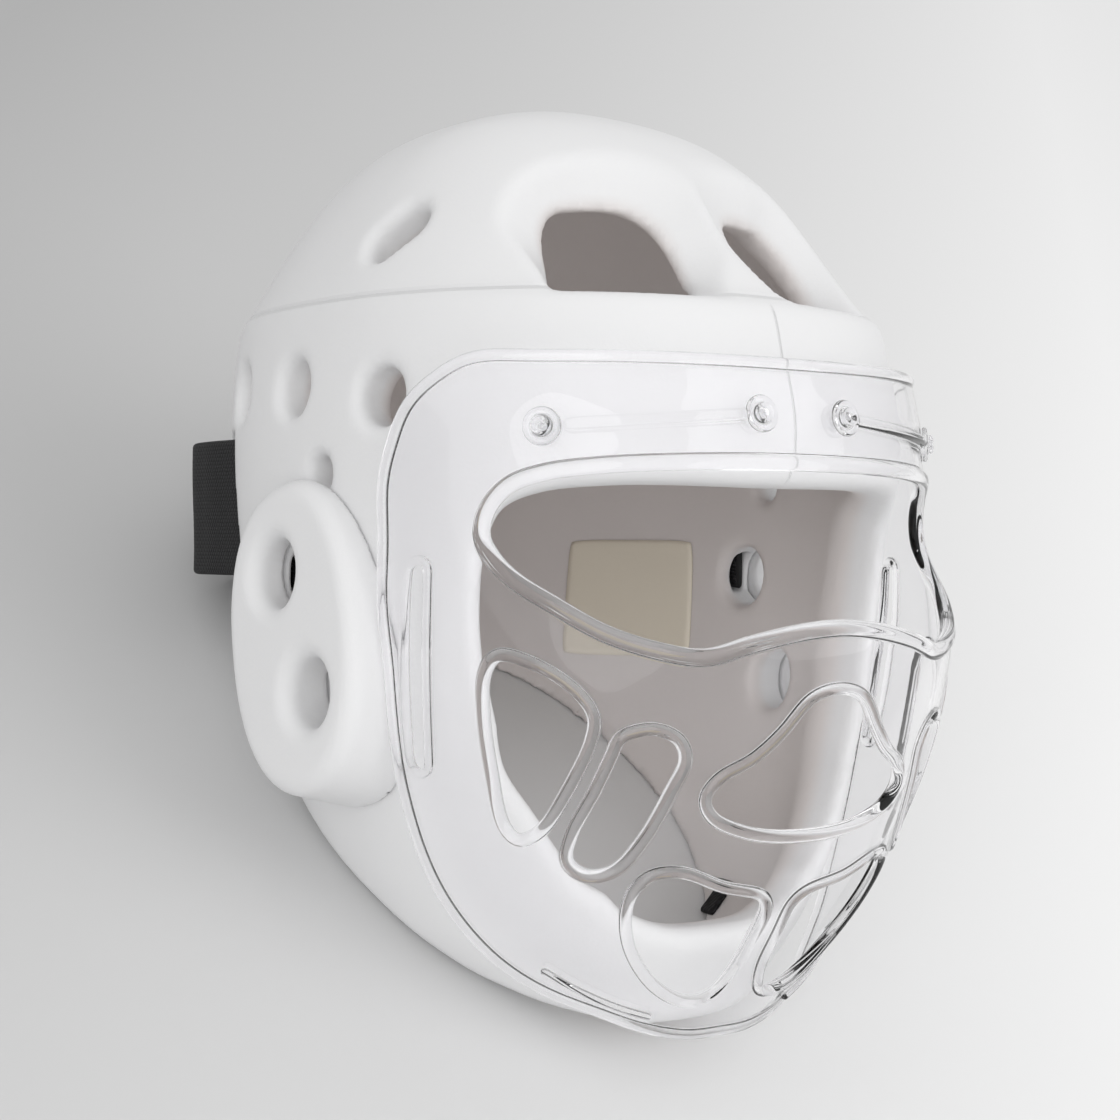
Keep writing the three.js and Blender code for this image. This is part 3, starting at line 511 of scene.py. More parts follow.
def strap_line(count=240):
    """The strap's route seen from above, as even steps from the -X end to the +X end. Each
    stretch is a cubic whose ends have half the slope between their neighbours."""
    right = STRAP_ROUTE * [1, STRAP["rear"]]
    p = np.concatenate([right, right[-2::-1] * [-1, 1]])
    padded = np.concatenate([2 * p[:1] - p[1:2], p, 2 * p[-1:] - p[-2:-1]])
    t = np.linspace(0, 1, 16, endpoint=False)[None, :, None]
    a, b, c, d = (padded[k:len(padded) - 3 + k, None] for k in range(4))
    dense = 0.5 * (2 * b + (c - a) * t + (2 * a - 5 * b + 4 * c - d) * t ** 2
                   + (3 * b - a - 3 * c + d) * t ** 3)
    line = np.concatenate([dense.reshape(-1, 2), p[-1:]])
    run = run_length(line)
    return points_at(line, run, np.linspace(0, run[-1], count + 1))


def strap_dip(y):
    """How far the strap runs lower near its ends than at the back."""
    share = np.clip((STRAP["dip_from"] - y) / STRAP["dip_from"], 0, 1)
    return STRAP["dip"] * share * share * (3 - 2 * share)


# ---- Surfaces from fields ----
def sample_field(field, low, cell, points):
    """Value and slope of a field at points, each mixed from its eight grid neighbours."""
    q = (points - low) / cell
    q = np.clip(q, 0, np.array(field.shape) - 1.001)
    i = q.astype(np.int32)
    f = q - i
    corner = [[[field[i[:, 0] + a, i[:, 1] + b, i[:, 2] + c] for c in (0, 1)]
               for b in (0, 1)] for a in (0, 1)]
    fx, fy, fz = f.T
    mix = lambda lo, hi, t: lo * (1 - t) + hi * t
    along_z = [[mix(corner[a][b][0], corner[a][b][1], fz) for b in (0, 1)] for a in (0, 1)]
    along_y = [mix(along_z[a][0], along_z[a][1], fy) for a in (0, 1)]
    value = mix(along_y[0], along_y[1], fx)
    slope_x = along_y[1] - along_y[0]
    slope_y = mix(along_z[0][1] - along_z[0][0], along_z[1][1] - along_z[1][0], fx)
    rise = [[corner[a][b][1] - corner[a][b][0] for b in (0, 1)] for a in (0, 1)]
    slope_z = mix(mix(rise[0][0], rise[0][1], fy), mix(rise[1][0], rise[1][1], fy), fx)
    return value, np.stack([slope_x, slope_y, slope_z], 1) / cell


def settled(field, cell):
    """The field with one more corner inside in every grid square whose inside corners are only
    two opposite ones, so that each edge of the surface lies between two faces."""
    field = field.copy()
    for _ in range(12):
        count = 0
        for axis in range(3):
            u, w = [k for k in range(3) if k != axis]
            views = []
            for du, dw in ((0, 0), (1, 0), (1, 1), (0, 1)):
                part = [slice(None)] * 3
                part[u] = slice(du, field.shape[u] - 1 + du)
                part[w] = slice(dw, field.shape[w] - 1 + dw)
                views.append(field[tuple(part)])
            for a, b, c, d in ((0, 1, 2, 3), (1, 2, 3, 0)):
                first, second = views[a], views[c]
                twist = (first >= 0) & (second >= 0) & (views[b] < 0) & (views[d] < 0)
                count += twist.sum()
                nearer = first <= second
                first[twist & nearer] = -0.03 * cell
                second[twist & ~nearer] = -0.03 * cell
        if not count:
            break
    return field


def surface_of(field, low, cell):
    """The closed surface where a field is zero, as points and four-sided faces.

    Each grid cell that the surface crosses holds one point, the mean of the crossings on its
    edges, moved onto the zero level along the slope. Each crossed grid edge gives one face
    between the four cells round it.
    """
    field = settled(field, cell)
    inside = field < 0
    cells = tuple(n - 1 for n in field.shape)
    offsets = [(a, b, c) for a in (0, 1) for b in (0, 1) for c in (0, 1)]
    total = np.zeros(cells, np.int8)
    for a, b, c in offsets:
        total += inside[a:cells[0] + a, b:cells[1] + b, c:cells[2] + c]
    active = (total > 0) & (total < 8)
    number = np.full(cells, -1, np.int64)
    number[active] = np.arange(active.sum())
    where = np.argwhere(active)
    summed = np.zeros((len(where), 3))
    count = np.zeros(len(where))
    value = {o: field[where[:, 0] + o[0], where[:, 1] + o[1], where[:, 2] + o[2]]
             for o in offsets}
    for axis in range(3):
        for o in offsets:
            if o[axis]:
                continue
            far = tuple(1 if k == axis else o[k] for k in range(3))
            a, b = value[o], value[far]
            cross = (a < 0) != (b < 0)
            t = np.where(cross, a / np.where(cross, a - b, 1.0), 0.0)
            spot = np.array(o, float)[None] + t[:, None] * np.eye(3)[axis]
            summed += np.where(cross[:, None], spot, 0.0)
            count += cross
    points = low + cell * (where + summed / count[:, None])
    for _ in range(2):
        v, slope = sample_field(field, low, cell, points)
        move = -v[:, None] * slope / np.maximum((slope * slope).sum(1), 1e-6)[:, None]
        points = points + np.clip(move, -0.35 * cell, 0.35 * cell)
    faces = []
    for axis in range(3):
        u, w = [k for k in range(3) if k != axis]
        near, far = [slice(1, -1)] * 3, [slice(1, -1)] * 3
        near[axis], far[axis] = slice(0, -1), slice(1, None)
        a, b = inside[tuple(near)], inside[tuple(far)]
        for start, flip in ((a & ~b, False), (b & ~a, True)):
            spots = np.argwhere(start) + np.array([0 if k == axis else 1 for k in range(3)])
            ring = []
            for du, dw in ((1, 1), (0, 1), (0, 0), (1, 0)):
                c = spots.copy()
                c[:, u] -= du
                c[:, w] -= dw
                ring.append(number[c[:, 0], c[:, 1], c[:, 2]])
            ring = np.stack(ring, 1)
            faces.append(ring[:, ::-1] if flip != (axis == 1) else ring)
    return points, np.concatenate(faces)


def outward_faces(points, faces):
    """The faces, all turned round if the solid they close would have less than no volume."""
    a, b, c = points[faces[:, 0]], points[faces[:, 1]], points[faces[:, 2]]
    volume = np.einsum("ij,ij->i", a, np.cross(b, c)).sum()
    if faces.shape[1] == 4:
        d = points[faces[:, 3]]
        volume += np.einsum("ij,ij->i", a, np.cross(c, d)).sum()
    return faces if volume > 0 else faces[:, ::-1]


def row_quads(number):
    """Four-sided faces between neighbouring closed rows of numbered points."""
    a, b = number[:-1], number[1:]
    return np.stack([a, np.roll(a, -1, 1), np.roll(b, -1, 1), b], -1).reshape(-1, 4)


def new_piece(name, points, face_groups, material, nodes, uv=None):
    """A mesh piece from worn points and groups of faces, riding on the body."""
    mesh = bpy.data.meshes.new(name)
    faces = [f for group in face_groups for f in group.tolist()]
    mesh.from_pydata(to_world(points).tolist(), [], faces)
    mesh.polygons.foreach_set("use_smooth", np.ones(len(faces), bool))
    if uv is not None:
        layer = mesh.uv_layers.new(name="UVMap")
        layer.data.foreach_set("uv", uv.astype(np.float32).ravel())
    mesh.update()
    mesh.materials.append(material)
    piece = bpy.data.objects.new(name, mesh)
    bpy.context.scene.collection.objects.link(piece)
    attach(piece, "root")
    if nodes:
        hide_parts(*nodes)
    return piece


# ---- Foam pieces ----
def face_opening_level(x, y, z):
    """Distance to the face opening, negative inside: its outline seen from the front, drawn
    wider with the distance forward, and ended by a plane inside the hollow."""
    height = OPENING["bottom"] + FACE_OPENING[:, 1] * (OPENING["top"] - OPENING["bottom"])
    right = np.stack([FACE_OPENING[:, 0] * OPENING["half"], height], 1)
    outline = np.concatenate([right, right[-2:0:-1] * [-1, 1]])
    face = OutlineMap(smooth_closed(outline, 2.0), 45.0)
    spread = 1 + OPENING["splay"] * (-y - OPENING["depth"])
    return np.maximum(face(x / np.maximum(spread, 0.5), z), OPENING["back"] + y)


def vent_levels(x, y, z, skin, bowl_top):
    """Distances to a crown vent's hole and to the bowl round it, negative inside.

    The outline is mirrored below the sill and smoothed as one oval, which a level plane at
    the sill then cuts. The bowl is a cone on that outline, wider at the skin than inside,
    and most of all at its top and towards the middle.
    """
    turn = math.radians(VENT["turn"])
    across = -(x * math.cos(turn) + y * math.sin(turn)) - VENT["shift"]
    depth = x * math.sin(turn) - y * math.cos(turn)
    corners = VENT_OUTLINE * [VENT["half"], VENT["height"]] + [0, VENT["sill"]]
    below = corners[-2:0:-1] * [1, -1] + [0, 2 * VENT["sill"]]
    vent = OutlineMap(smooth_closed(np.concatenate([corners, below]), 1.0), 30.0, 0.7)
    beside = vent(across, z)
    sill = VENT["sill"] - z
    behind = VENT["reach"] - depth
    inward = np.clip(0.5 + across / BOWL["width"], 0, 1)
    top = np.clip((z - VENT["sill"]) / BOWL["height"], 0, 1)
    bowl = BOWL["flare"] + BOWL["inward"] * inward + bowl_top * top * top * (3 - 2 * top)
    sunk = np.clip(1 + skin / BOWL["depth"], 0, 2)
    cone = (beside - bowl * sunk) / np.sqrt(1 + (bowl / BOWL["depth"]) ** 2)
    return (np.maximum(np.maximum(beside, sill), behind),
            round_meet(np.maximum(cone, behind), sill - BOWL["sill"], BOWL["corner"]))


def air_hole_levels(x, y, z):
    """Distances to the round air holes and the slanted slot, each square to the wall."""
    found = []
    for turn_degrees, level, radius in AIR_HOLES:
        here, outward = wall_frame(turn_degrees, level)
        dx, dy, dz = x - here[0], y - here[1], z - here[2]
        along = dx * outward[0] + dy * outward[1] + dz * outward[2]
        apart = np.sqrt(np.maximum(dx * dx + dy * dy + dz * dz - along * along, 0))
        found.append(np.maximum(apart - radius, -AIR_HOLE_REACH - along))
    here, outward = wall_frame(SLOT["turn"], SLOT["height"])
    side = np.cross(-outward, [0, 0, 1])
    side /= np.linalg.norm(side)
    upward = np.cross(side, -outward)
    lean = math.radians(SLOT["lean"])
    lengthwise = side * math.cos(lean) - upward * math.sin(lean)
    crosswise = side * math.sin(lean) + upward * math.cos(lean)
    dx, dy, dz = x - here[0], y - here[1], z - here[2]
    dot = lambda axis: dx * axis[0] + dy * axis[1] + dz * axis[2]
    half = (SLOT["length"] - SLOT["width"]) / 2
    apart = np.hypot(np.maximum(np.abs(dot(lengthwise)) - half, 0), dot(crosswise))
    return found + [np.maximum(apart - SLOT["width"] / 2, -SLOT["reach"] - dot(outward))]


def slit_level(x, y, z):
    """Distance to the strap's slit: a band of one width along the strap's route."""
    line = strap_line()
    line = line[line[:, 0] >= -1]
    beside = line_distance(x[:, :, 0], y[:, :, 0], line, False)[:, :, None] - SLIT["half"]
    middle = STRAP["bottom"] + STRAP["height"] / 2 - strap_dip(y)
    return np.maximum(beside, np.abs(z - middle) - STRAP["height"] / 2 - GAP - SLIT["above"])


def foam_fields(settings, cell):
    """Signed distance of the shell on a grid over the +X half, negative in foam.

    The outside form is cut by the neck rim, the face opening, the crown vent, the bores and
    the strap's slit, each with its own edge rounding. The hollow is then taken away with a
    smaller rounding.
    """
    x = (np.arange(int(SHELL_GRID["side"] / cell) + 2) + 0.5) * cell
    y = np.arange(*SHELL_GRID["along"], cell)
    z = np.arange(*SHELL_GRID["height"], cell)
    low = np.array([x[0], y[0], z[0]])
    x, y, z = (a.astype(np.float32) for a in np.meshgrid(x, y, z, indexing="ij"))
    skin, hollow = shell_levels(x, y, z, cell, settings.thickness * 1000)
    hole, bowl = vent_levels(x, y, z, skin, settings.vent_bowl * 1000)
    bores = air_hole_levels(x, y, z) + ear_hole_levels(*ear_local(x, y, z))
    cuts = [(face_opening_level(x, y, z), settings.opening_round * 1000),
            (hole, VENT["edge"]), (bowl, BOWL["edge"]),
            *((bore, settings.hole_round * 1000) for bore in bores),
            (slit_level(x, y, z), SLIT["edge"]), (hollow, settings.inner_round * 1000)]
    field = round_meet(skin, rim_level(y, z), settings.rim_round * 1000)
    for cut, rounding in cuts:
        field = round_meet(field, -cut, rounding)
    return field.astype(np.float32), skin, low


def make_shell(settings):
    """The foam shell, meshed from its field and the field's mirror image."""
    cell = settings.cell * 1000
    field, skin, low = foam_fields(settings, cell)
    whole = np.concatenate([field[::-1], field])
    start = low * [0, 1, 1] - [low[0] + (field.shape[0] - 1) * cell, 0, 0]
    points, faces = surface_of(whole, start, cell)
    shell = new_piece("foam_shell_skin", points, [outward_faces(points, faces)],
                      foam_material(settings), ["foam_shell"])
    depth = sample_field(np.concatenate([skin[::-1], skin]), start, cell, points)[0]
    # 1 deep in the hollow, where the skin is painted darker and warmer as shade and made duller
    inside = np.clip((-depth - INSIDE["begins"]) / INSIDE["spread"], 0, 1)
    x, y, z = points.T
    band = np.clip((z - SEAM["bottom"]) / 3, 0, 1) * np.clip((SEAM["top"] - z) / 2, 0, 1)
    seam = band * (y < 0) * (np.abs(x) < SEAM["half"]) * (depth > SEAM["deepest"])
    keep_values(shell, inside=inside, seam=seam, height=z * 0.001,
                outside=np.clip(1 + depth / 3, 0, 1))


def make_ear_cup(settings, side):
    """One ear cup: an oval with a rounded edge standing out of the shell, hollowed by two
    flared bores, and cut back to the shell's outside."""
    cell = settings.ear_cell * 1000
    x, y, z = (np.arange(*EAR_GRID[k], cell) for k in ("side", "along", "height"))
    low = np.array([x[0], y[0], z[0]])
    x, y, z = np.meshgrid(x, y, z, indexing="ij")
    outside, _ = shell_levels(x, y, z, cell, settings.thickness * 1000)
    across, above, outward = ear_local(x, y, z)
    flare = 1 + np.maximum(EAR["face"] - outward, 0) * EAR["flare"]
    n = EAR["squareness"]
    oval = ((np.abs(across) / (EAR["half_length"] * flare)) ** n
            + (np.abs(above) / (EAR["half_height"] * flare)) ** n) ** (1 / n)
    oval = as_distance(oval - 1, cell)
    dome = outward - EAR["face"] + EAR["dome"] * (across ** 2 + above ** 2 * 0.6)
    field = round_meet(oval, dome, settings.ear_round * 1000)
    for level in ear_hole_levels(across, above, outward):
        field = round_meet(field, -level, settings.hole_round * 1000 + 1.5)
    field = round_meet(field, GAP - outside, EAR["seat_round"]).astype(np.float32)
    points, faces = surface_of(field, low, cell)
    if side < 0:
        points = points * [-1, 1, 1]
    name = "left" if side > 0 else "right"
    cup = new_piece(f"ear_cup_{name}_skin", points, [outward_faces(points, faces)],
                    foam_material(settings), [f"ear_cup_{name}"])


# ---- Clear shield ----
def shield_size(height):
    """Half width and front reach of the shield's middle at a height."""
    share = (height - SHIELD["bottom"]) / (SHIELD["top"] - SHIELD["bottom"])
    half, front, _ = shell_size(height)
    return (half + SHIELD["standoff"] + SHIELD["bulge"] * at(SIDE_BULGE, share),
            front + SHIELD["standoff"] + SHIELD["bulge"] * at(FRONT_BULGE, share))


def shield_points(flat):
    """Points of the shield's middle from (angle times 100, height): the angle is seen from
    the upright axis, and the reach there is that of the rounded section."""
    angle, height = flat[:, 0] / 100, flat[:, 1]
    half, front = shield_size(height)
    n = SHIELD["squareness"]
    reach = ((np.abs(np.sin(angle)) / half) ** n
             + (np.abs(np.cos(angle)) / front) ** n) ** (-1 / n)
    return np.stack([reach * np.sin(angle), -reach * np.cos(angle), height], 1)


def shield_slopes(flat):
    """How the middle surface moves along each flat direction, and its outward direction."""
    du, dv = np.array([0.15, 0]), np.array([0, 0.5])
    along = (shield_points(flat + du) - shield_points(flat - du)) / 0.3
    upward = (shield_points(flat + dv) - shield_points(flat - dv)) / 1.0
    outward = np.cross(along, upward)
    return along, upward, outward / np.linalg.norm(outward, axis=1)[:, None]


def flat_from_front(outline):
    """An outline drawn from the front, as side and height, laid on the shield."""
    half, front = shield_size(outline[:, 1])
    n = SHIELD["squareness"]
    share = np.minimum(np.abs(outline[:, 0]) / half, 1)
    forward = front * (1 - share ** n) ** (1 / n)
    return np.stack([np.arctan2(outline[:, 0], forward) * 100, outline[:, 1]], 1)


def flat_from_side(outline, side):
    """An outline drawn from the side, as forward reach and height, laid on the shield."""
    half, front = shield_size(outline[:, 1])
    n = SHIELD["squareness"]
    across = half * (1 - (outline[:, 0] / front) ** n) ** (1 / n)
    return np.stack([np.arctan2(side * across, outline[:, 0]) * 100, outline[:, 1]], 1)


def flat_edge():
    """The shield's own outline: the wrap at each height, closed along the top and bottom."""
    share = SHIELD_SECTIONS[:, 0]
    height = SHIELD["bottom"] + share * (SHIELD["top"] - SHIELD["bottom"])
    half, front = shield_size(height)
    power = 2 / SHIELD["squareness"]

    def at_turn(turn, k):
        return np.arctan2(half[k] * np.sign(turn) * np.abs(np.sin(turn)) ** power,
                          front[k] * np.cos(turn) ** power) * 100

    turn = np.radians(SHIELD["wrap"] * SHIELD_SECTIONS[:, 3])
    side = [[at_turn(turn[k], k), height[k]] for k in range(len(share))]
    bottom = [[at_turn(turn[0] * u, 0), height[0]] for u in (-0.5, 0, 0.5)]
    top = [[at_turn(turn[-1] * u, -1), height[-1]]
           for u in (0.8, 0.6, 0.4, 0.2, 0, -0.2, -0.4, -0.6, -0.8)]
    return np.array(bottom + side + top + [[-a, h] for a, h in side[::-1]])


def stadium(length, width, count=9):
    """A slot's outline: two half circles joined by straight sides, its length along the first
    direction."""
    turn = np.linspace(-math.pi / 2, math.pi / 2, count)
    end = np.stack([(length - width) / 2 + width / 2 * np.cos(turn), width / 2 * np.sin(turn)], 1)
    return np.concatenate([end, -end])


def shield_outlines():
    """Every opening of the shield on its flat map, with the kind of its bead."""
    span = EYE["top"] - EYE["bottom"]
    right = np.concatenate([EYE_UPPER[::-1], EYE_LOWER]) * [EYE["half"], span]
    right += [0, EYE["bottom"]]
    eye = np.concatenate([[[0, EYE["top"]]], right, right[-2::-1] * [-1, 1]])
    span = MOUTH["top"] - MOUTH["bottom"]
    half = MOUTH_OUTLINE * [MOUTH["half"], span] + [0, MOUTH["bottom"]]
    mouth = np.concatenate([half, half[::-1] * [-1, 1]])
    found = [(flat_from_front(eye), "eye"), (flat_from_front(mouth), "plain")]
    found += [(flat_from_front(outline * [side, 1]), "plain")
              for outline in (CHEEK_VENT, CHEEK_SLOT, CHIN_VENT) for side in (1, -1)]
    tall = SIDE_SLOT["top"] - SIDE_SLOT["bottom"]
    slot = stadium(tall, 2 * SIDE_SLOT["half"])
    slot = np.stack([SIDE_SLOT["forward"] + slot[:, 1] + slot[:, 0] * SIDE_SLOT["slant"] / tall,
                     (SIDE_SLOT["top"] + SIDE_SLOT["bottom"]) / 2 + slot[:, 0]], 1)
    return found + [(flat_from_side(slot, side), "thin") for side in (1, -1)]


def even_loop(flat, step, soften):
    """A closed flat outline, smoothed and averaged by a bell of the width soften, at even steps
    measured on the shield itself."""
    dense = smooth_closed(flat, 0.5)
    reach = int(6 * soften)
    bell = np.exp(-0.5 * (np.arange(-reach, reach + 1) / (2 * soften)) ** 2)
    dense = np.stack([np.convolve(np.pad(dense[:, k], reach, "wrap"), bell / bell.sum(), "valid")
                      for k in (0, 1)], 1)
    closed = np.concatenate([dense, dense[:1]])
    run = run_length(shield_points(closed))
    return points_at(closed, run, np.linspace(0, run[-1], max(int(run[-1] / step), 16) + 1)[:-1])


def flat_steps(along, upward, vectors):
    """Directions on the shield as steps on its flat map: the two by two system of the
    surface's slopes, solved for each."""
    a, b, c = (along * along).sum(1), (along * upward).sum(1), (upward * upward).sum(1)
    p, q = (along * vectors).sum(1), (upward * vectors).sum(1)
    det = a * c - b * b
    return np.stack([(c * p - b * q) / det, (a * q - b * p) / det], 1)


def offset_rows(loop, distances, inward):
    """Rows beside a loop at distances measured on the shield. The sideways direction is the
    outward direction crossed with the loop's own direction."""
    along, upward, outward = shield_slopes(loop)
    solid = shield_points(loop)
    tangent = np.roll(solid, -1, 0) - np.roll(solid, 1, 0)
    tangent /= np.linalg.norm(tangent, axis=1)[:, None]
    beside = np.cross(outward, tangent)
    u, v = loop.T
    area = 0.5 * np.sum(u * np.roll(v, -1) - np.roll(u, -1) * v)
    if (area > 0) != inward:
        beside = -beside
    step = flat_steps(along, upward, beside)
    return np.array([loop + d * step for d in distances])


def bead_profile(radius, half_sheet):
    """Half thickness across a bead: a half circle that runs out into the sheet."""
    circle = radius * np.sqrt(np.maximum(1 - BEAD_ROWS ** 2, 0))
    apart = np.maximum(BEAD_BLEND - np.abs(circle - half_sheet), 0) / BEAD_BLEND
    blended = np.maximum(circle, half_sheet) + apart ** 2 * BEAD_BLEND / 4
    half = np.where(BEAD_ROWS > 0, blended, circle)
    half[-2:] = half_sheet
    return BEAD_ROWS * radius, half


def bead_bands(settings, half_sheet):
    """The rows of flat points across every bead with the half thickness at each row; the
    shield's own edge comes first."""
    bead = settings.bead * 1000
    radii = {"edge": bead, "plain": bead, "thin": bead * THIN_BEAD,
             "eye": settings.eye_bead * 1000}
    found = []
    for outline, kind in [(flat_edge(), "edge")] + shield_outlines():
        edge = kind == "edge"
        distance, half = bead_profile(radii[kind], half_sheet)
        loop = even_loop(outline, settings.step * 1000, EDGE_SOFTEN if edge else OPENING_SOFTEN)
        found.append((offset_rows(loop, distance, edge), half))
    return found


def ridge_lines(settings):
    """The flat lines of the rods between the screws and of the chin's ridges, with their
    radii."""
    (_, near, near_height), (_, far, far_height) = SCREWS[2:]
    u = np.linspace(*ROD_SPAN, 24)
    height = near_height + (u - near) / (far - near) * (far_height - near_height)
    found = []
    for side in (1, -1):
        found.append((flat_from_front(np.stack([side * u, height], 1)), settings.rod * 1000))
        chin = even_steps(CHIN_RIDGE * [side, 1], 2.0)
        found.append((flat_from_front(chin), settings.rod * 1000 * CHIN_RIDGE_SHARE))
    return found


def ridge_rows(line, radius):
    """Closed rows of flat points round an open line, each with its height above the sheet,
    which together make a raised round ridge. A row runs beside the line, round its end in a
    half circle, back on the other side and round its start."""
    along, upward, outward = shield_slopes(line)
    tangent = np.gradient(shield_points(line), axis=0)
    tangent /= np.linalg.norm(tangent, axis=1)[:, None]
    beside = np.cross(outward, tangent)
    count = len(line)
    round_end = np.linspace(math.pi / 2, -math.pi / 2, 9)[1:-1, None]
    round_start = np.linspace(-math.pi / 2, -3 * math.pi / 2, 9)[1:-1, None]
    spot = np.concatenate([np.arange(count), np.full(len(round_end), count - 1),
                           np.arange(count)[::-1], np.zeros(len(round_start), int)])
    way = np.concatenate([
        beside, np.cos(round_end) * tangent[-1] + np.sin(round_end) * beside[-1],
        -beside[::-1], np.cos(round_start) * tangent[0] + np.sin(round_start) * beside[0]])
    step = flat_steps(along[spot], upward[spot], way)
    return [(line[spot] + radius * share * step, radius * high)
            for share, high in zip(RIDGE_DISTANCE, RIDGE_HEIGHT)]


def on_sheet(flat, rims):
    """True for flat points inside the shield's edge and outside its openings."""
    found = inside_outline(flat[:, 0], flat[:, 1], rims[0])
    for rim in rims[1:]:
        found &= ~inside_outline(flat[:, 0], flat[:, 1], rim)
    return found


def net_points(cell, rims, ridges):
    """An even net of flat points, every second row half a step along, kept clear of the beads
    and the ridges."""
    u, v = np.meshgrid(np.arange(-NET["side"], NET["side"], cell),
                       np.arange(NET["low"], NET["high"], cell * NET["row"]))
    u[1::2] += cell / 2
    grid = np.stack([u.ravel(), v.ravel()], 1)
    keep = on_sheet(grid, rims)
    for rim in rims:
        keep &= line_distance(grid[:, 0], grid[:, 1], rim, True) > cell * NET["rim_gap"]
    for line, radius in ridges:
        keep &= line_distance(grid[:, 0], grid[:, 1], line, False) > radius * NET["ridge_gap"]
    return grid[keep]


def fill_net(net, edges, rims):
    """Triangles between the net's points that keep the given edges and lie on the sheet."""
    made, _, triangles, origin = delaunay_2d_cdt(
        [Vector(p) for p in net.tolist()], edges.tolist(), [], 0, 1e-5)[:4]
    if any(not o for o in origin):
        raise RuntimeError("the shield's rows cross each other")
    source = np.array([o[0] for o in origin])
    triangles = np.array(triangles)
    centre = np.array([p[:] for p in made])[triangles].mean(1)
    return source[triangles[on_sheet(centre, rims)]]


def facing(faces, points, outward):
    """The faces, those turned round that look against the outward direction."""
    a, b, c = points[faces[:, 0]], points[faces[:, 1]], points[faces[:, 2]]
    wrong = (np.cross(b - a, c - b) * outward[faces[:, 1]]).sum(1) < 0
    faces[wrong] = faces[wrong][:, ::-1]
    return faces


def make_shield(settings):
    """The clear shield: one closed sheet with a bead round its edge and every opening.

    On the shield's flat map every outline is followed by rows of points across its bead, and
    the rest is filled with an even triangle net. Each flat point gives two points, outside
    and inside, half a thickness to either side of the middle surface. The ridges stand on the
    outside alone. Both sides share the first row of each bead, which closes the sheet.
    """
    half_sheet = settings.thickness * 500
    bands = bead_bands(settings, half_sheet)
    ridges = ridge_lines(settings)
    numbers, total = [], 0
    for rows, _ in bands:
        numbers.append(total + np.arange(rows.shape[0] * rows.shape[1]).reshape(rows.shape[:2]))
        total += numbers[-1].size
    rims = [rows[-1] for rows, _ in bands]
    raised = [made for line, radius in ridges for made in ridge_rows(line, radius)]
    grid = net_points(settings.net * 1000, rims, ridges)
    filling = np.concatenate([row for row, _ in raised] + [grid])
    lift = np.concatenate([np.full(len(row), high) for row, high in raised]
                          + [np.zeros(len(grid))])

    kept_rows = rims + [row for row, _ in raised]
    edges, start = [], 0
    for row in kept_rows:
        i = np.arange(len(row))
        edges.append(np.stack([start + i, start + (i + 1) % len(row)], 1))
        start += len(row)
    names = np.concatenate([number[-1] for number in numbers]
                           + [total + np.arange(len(filling))])
    triangles = names[fill_net(np.concatenate(rims + [filling]), np.concatenate(edges), rims)]

    flat = np.concatenate([rows.reshape(-1, 2) for rows, _ in bands] + [filling])
    half = np.concatenate([np.repeat(half, rows.shape[1]) for rows, half in bands])
    front = np.concatenate([half, half_sheet + lift])
    back = np.concatenate([half, np.full(len(filling), half_sheet)])
    middle = shield_points(flat)
    _, _, outward = shield_slopes(flat)
    points = np.concatenate([middle + outward * front[:, None],
                             middle - outward * back[:, None]])
    quads = np.concatenate([row_quads(number) for number in numbers])
    shared = np.arange(len(points))
    for number in numbers:
        shared[number[0] + len(flat)] = number[0]
    groups = []
    for faces in (quads, triangles):
        faces = facing(faces, points, outward)
        groups.append(shared[np.concatenate([faces, faces[:, ::-1] + len(flat)])])
    used = np.unique(np.concatenate([faces.ravel() for faces in groups]))
    compact = np.zeros(len(points), int)
    compact[used] = np.arange(len(used))
    new_piece("face_shield_clear", points[used], [compact[faces] for faces in groups],
              shield_material(settings), ["face_shield"])


def screw_frame(side, height):
    """A screw's place on the shield and the outward direction there."""
    spot = flat_from_front(np.array([[side, height]]))
    _, _, outward = shield_slopes(spot)
    return shield_points(spot)[0], outward[0]


def make_screw(settings, name, side, height):
    """A clear screw: one profile of radius and height turned round its own axis, with a
    dished washer, a raised rim and a small socket in the middle."""
    radius, top = settings.screw_radius * 1000, settings.screw_height * 1000
    profile = np.concatenate([SCREW_SHANK, SCREW_WASHER * [radius, 1] + [0, SCREW_SEAT],
                              SCREW_HEAD * [radius, top] + [0, SCREW_SEAT]])
    fine = np.linspace(0, len(profile) - 1, (len(profile) - 1) * 2 + 1)
    profile = points_at(profile, np.arange(len(profile)), fine)
    turns = 40
    angle = np.arange(turns) / turns * 2 * math.pi
    here, outward = screw_frame(side, height)
    across = np.cross(outward, [0, 0, 1.0])
    across /= np.linalg.norm(across)
    upward = np.cross(across, outward)
    ring = np.cos(angle)[:, None] * across + np.sin(angle)[:, None] * upward
    body = profile[1:-1]
    points = here + body[:, None, :1] * ring[None] + body[:, None, 1:] * outward
    ends = here + profile[[0, -1], 1:] * outward
    points = np.concatenate([points.reshape(-1, 3), ends])
    number = np.arange(len(body) * turns).reshape(len(body), turns)
    quads = row_quads(number)
    low, high = len(points) - 2, len(points) - 1
    first, last = number[0], number[-1]
    caps = np.concatenate([np.stack([np.full(turns, low), np.roll(first, -1), first], 1),
                           np.stack([np.full(turns, high), last, np.roll(last, -1)], 1)])
    a, b, c = points[quads[0, :3]]
    if np.cross(b - a, c - b) @ (a - here - profile[1, 1] * outward) < 0:
        quads, caps = quads[:, ::-1], caps[:, ::-1]
    new_piece(f"screw_{name}_clear", points, [quads, caps], screw_material(settings),
              [f"screw_{name}"])


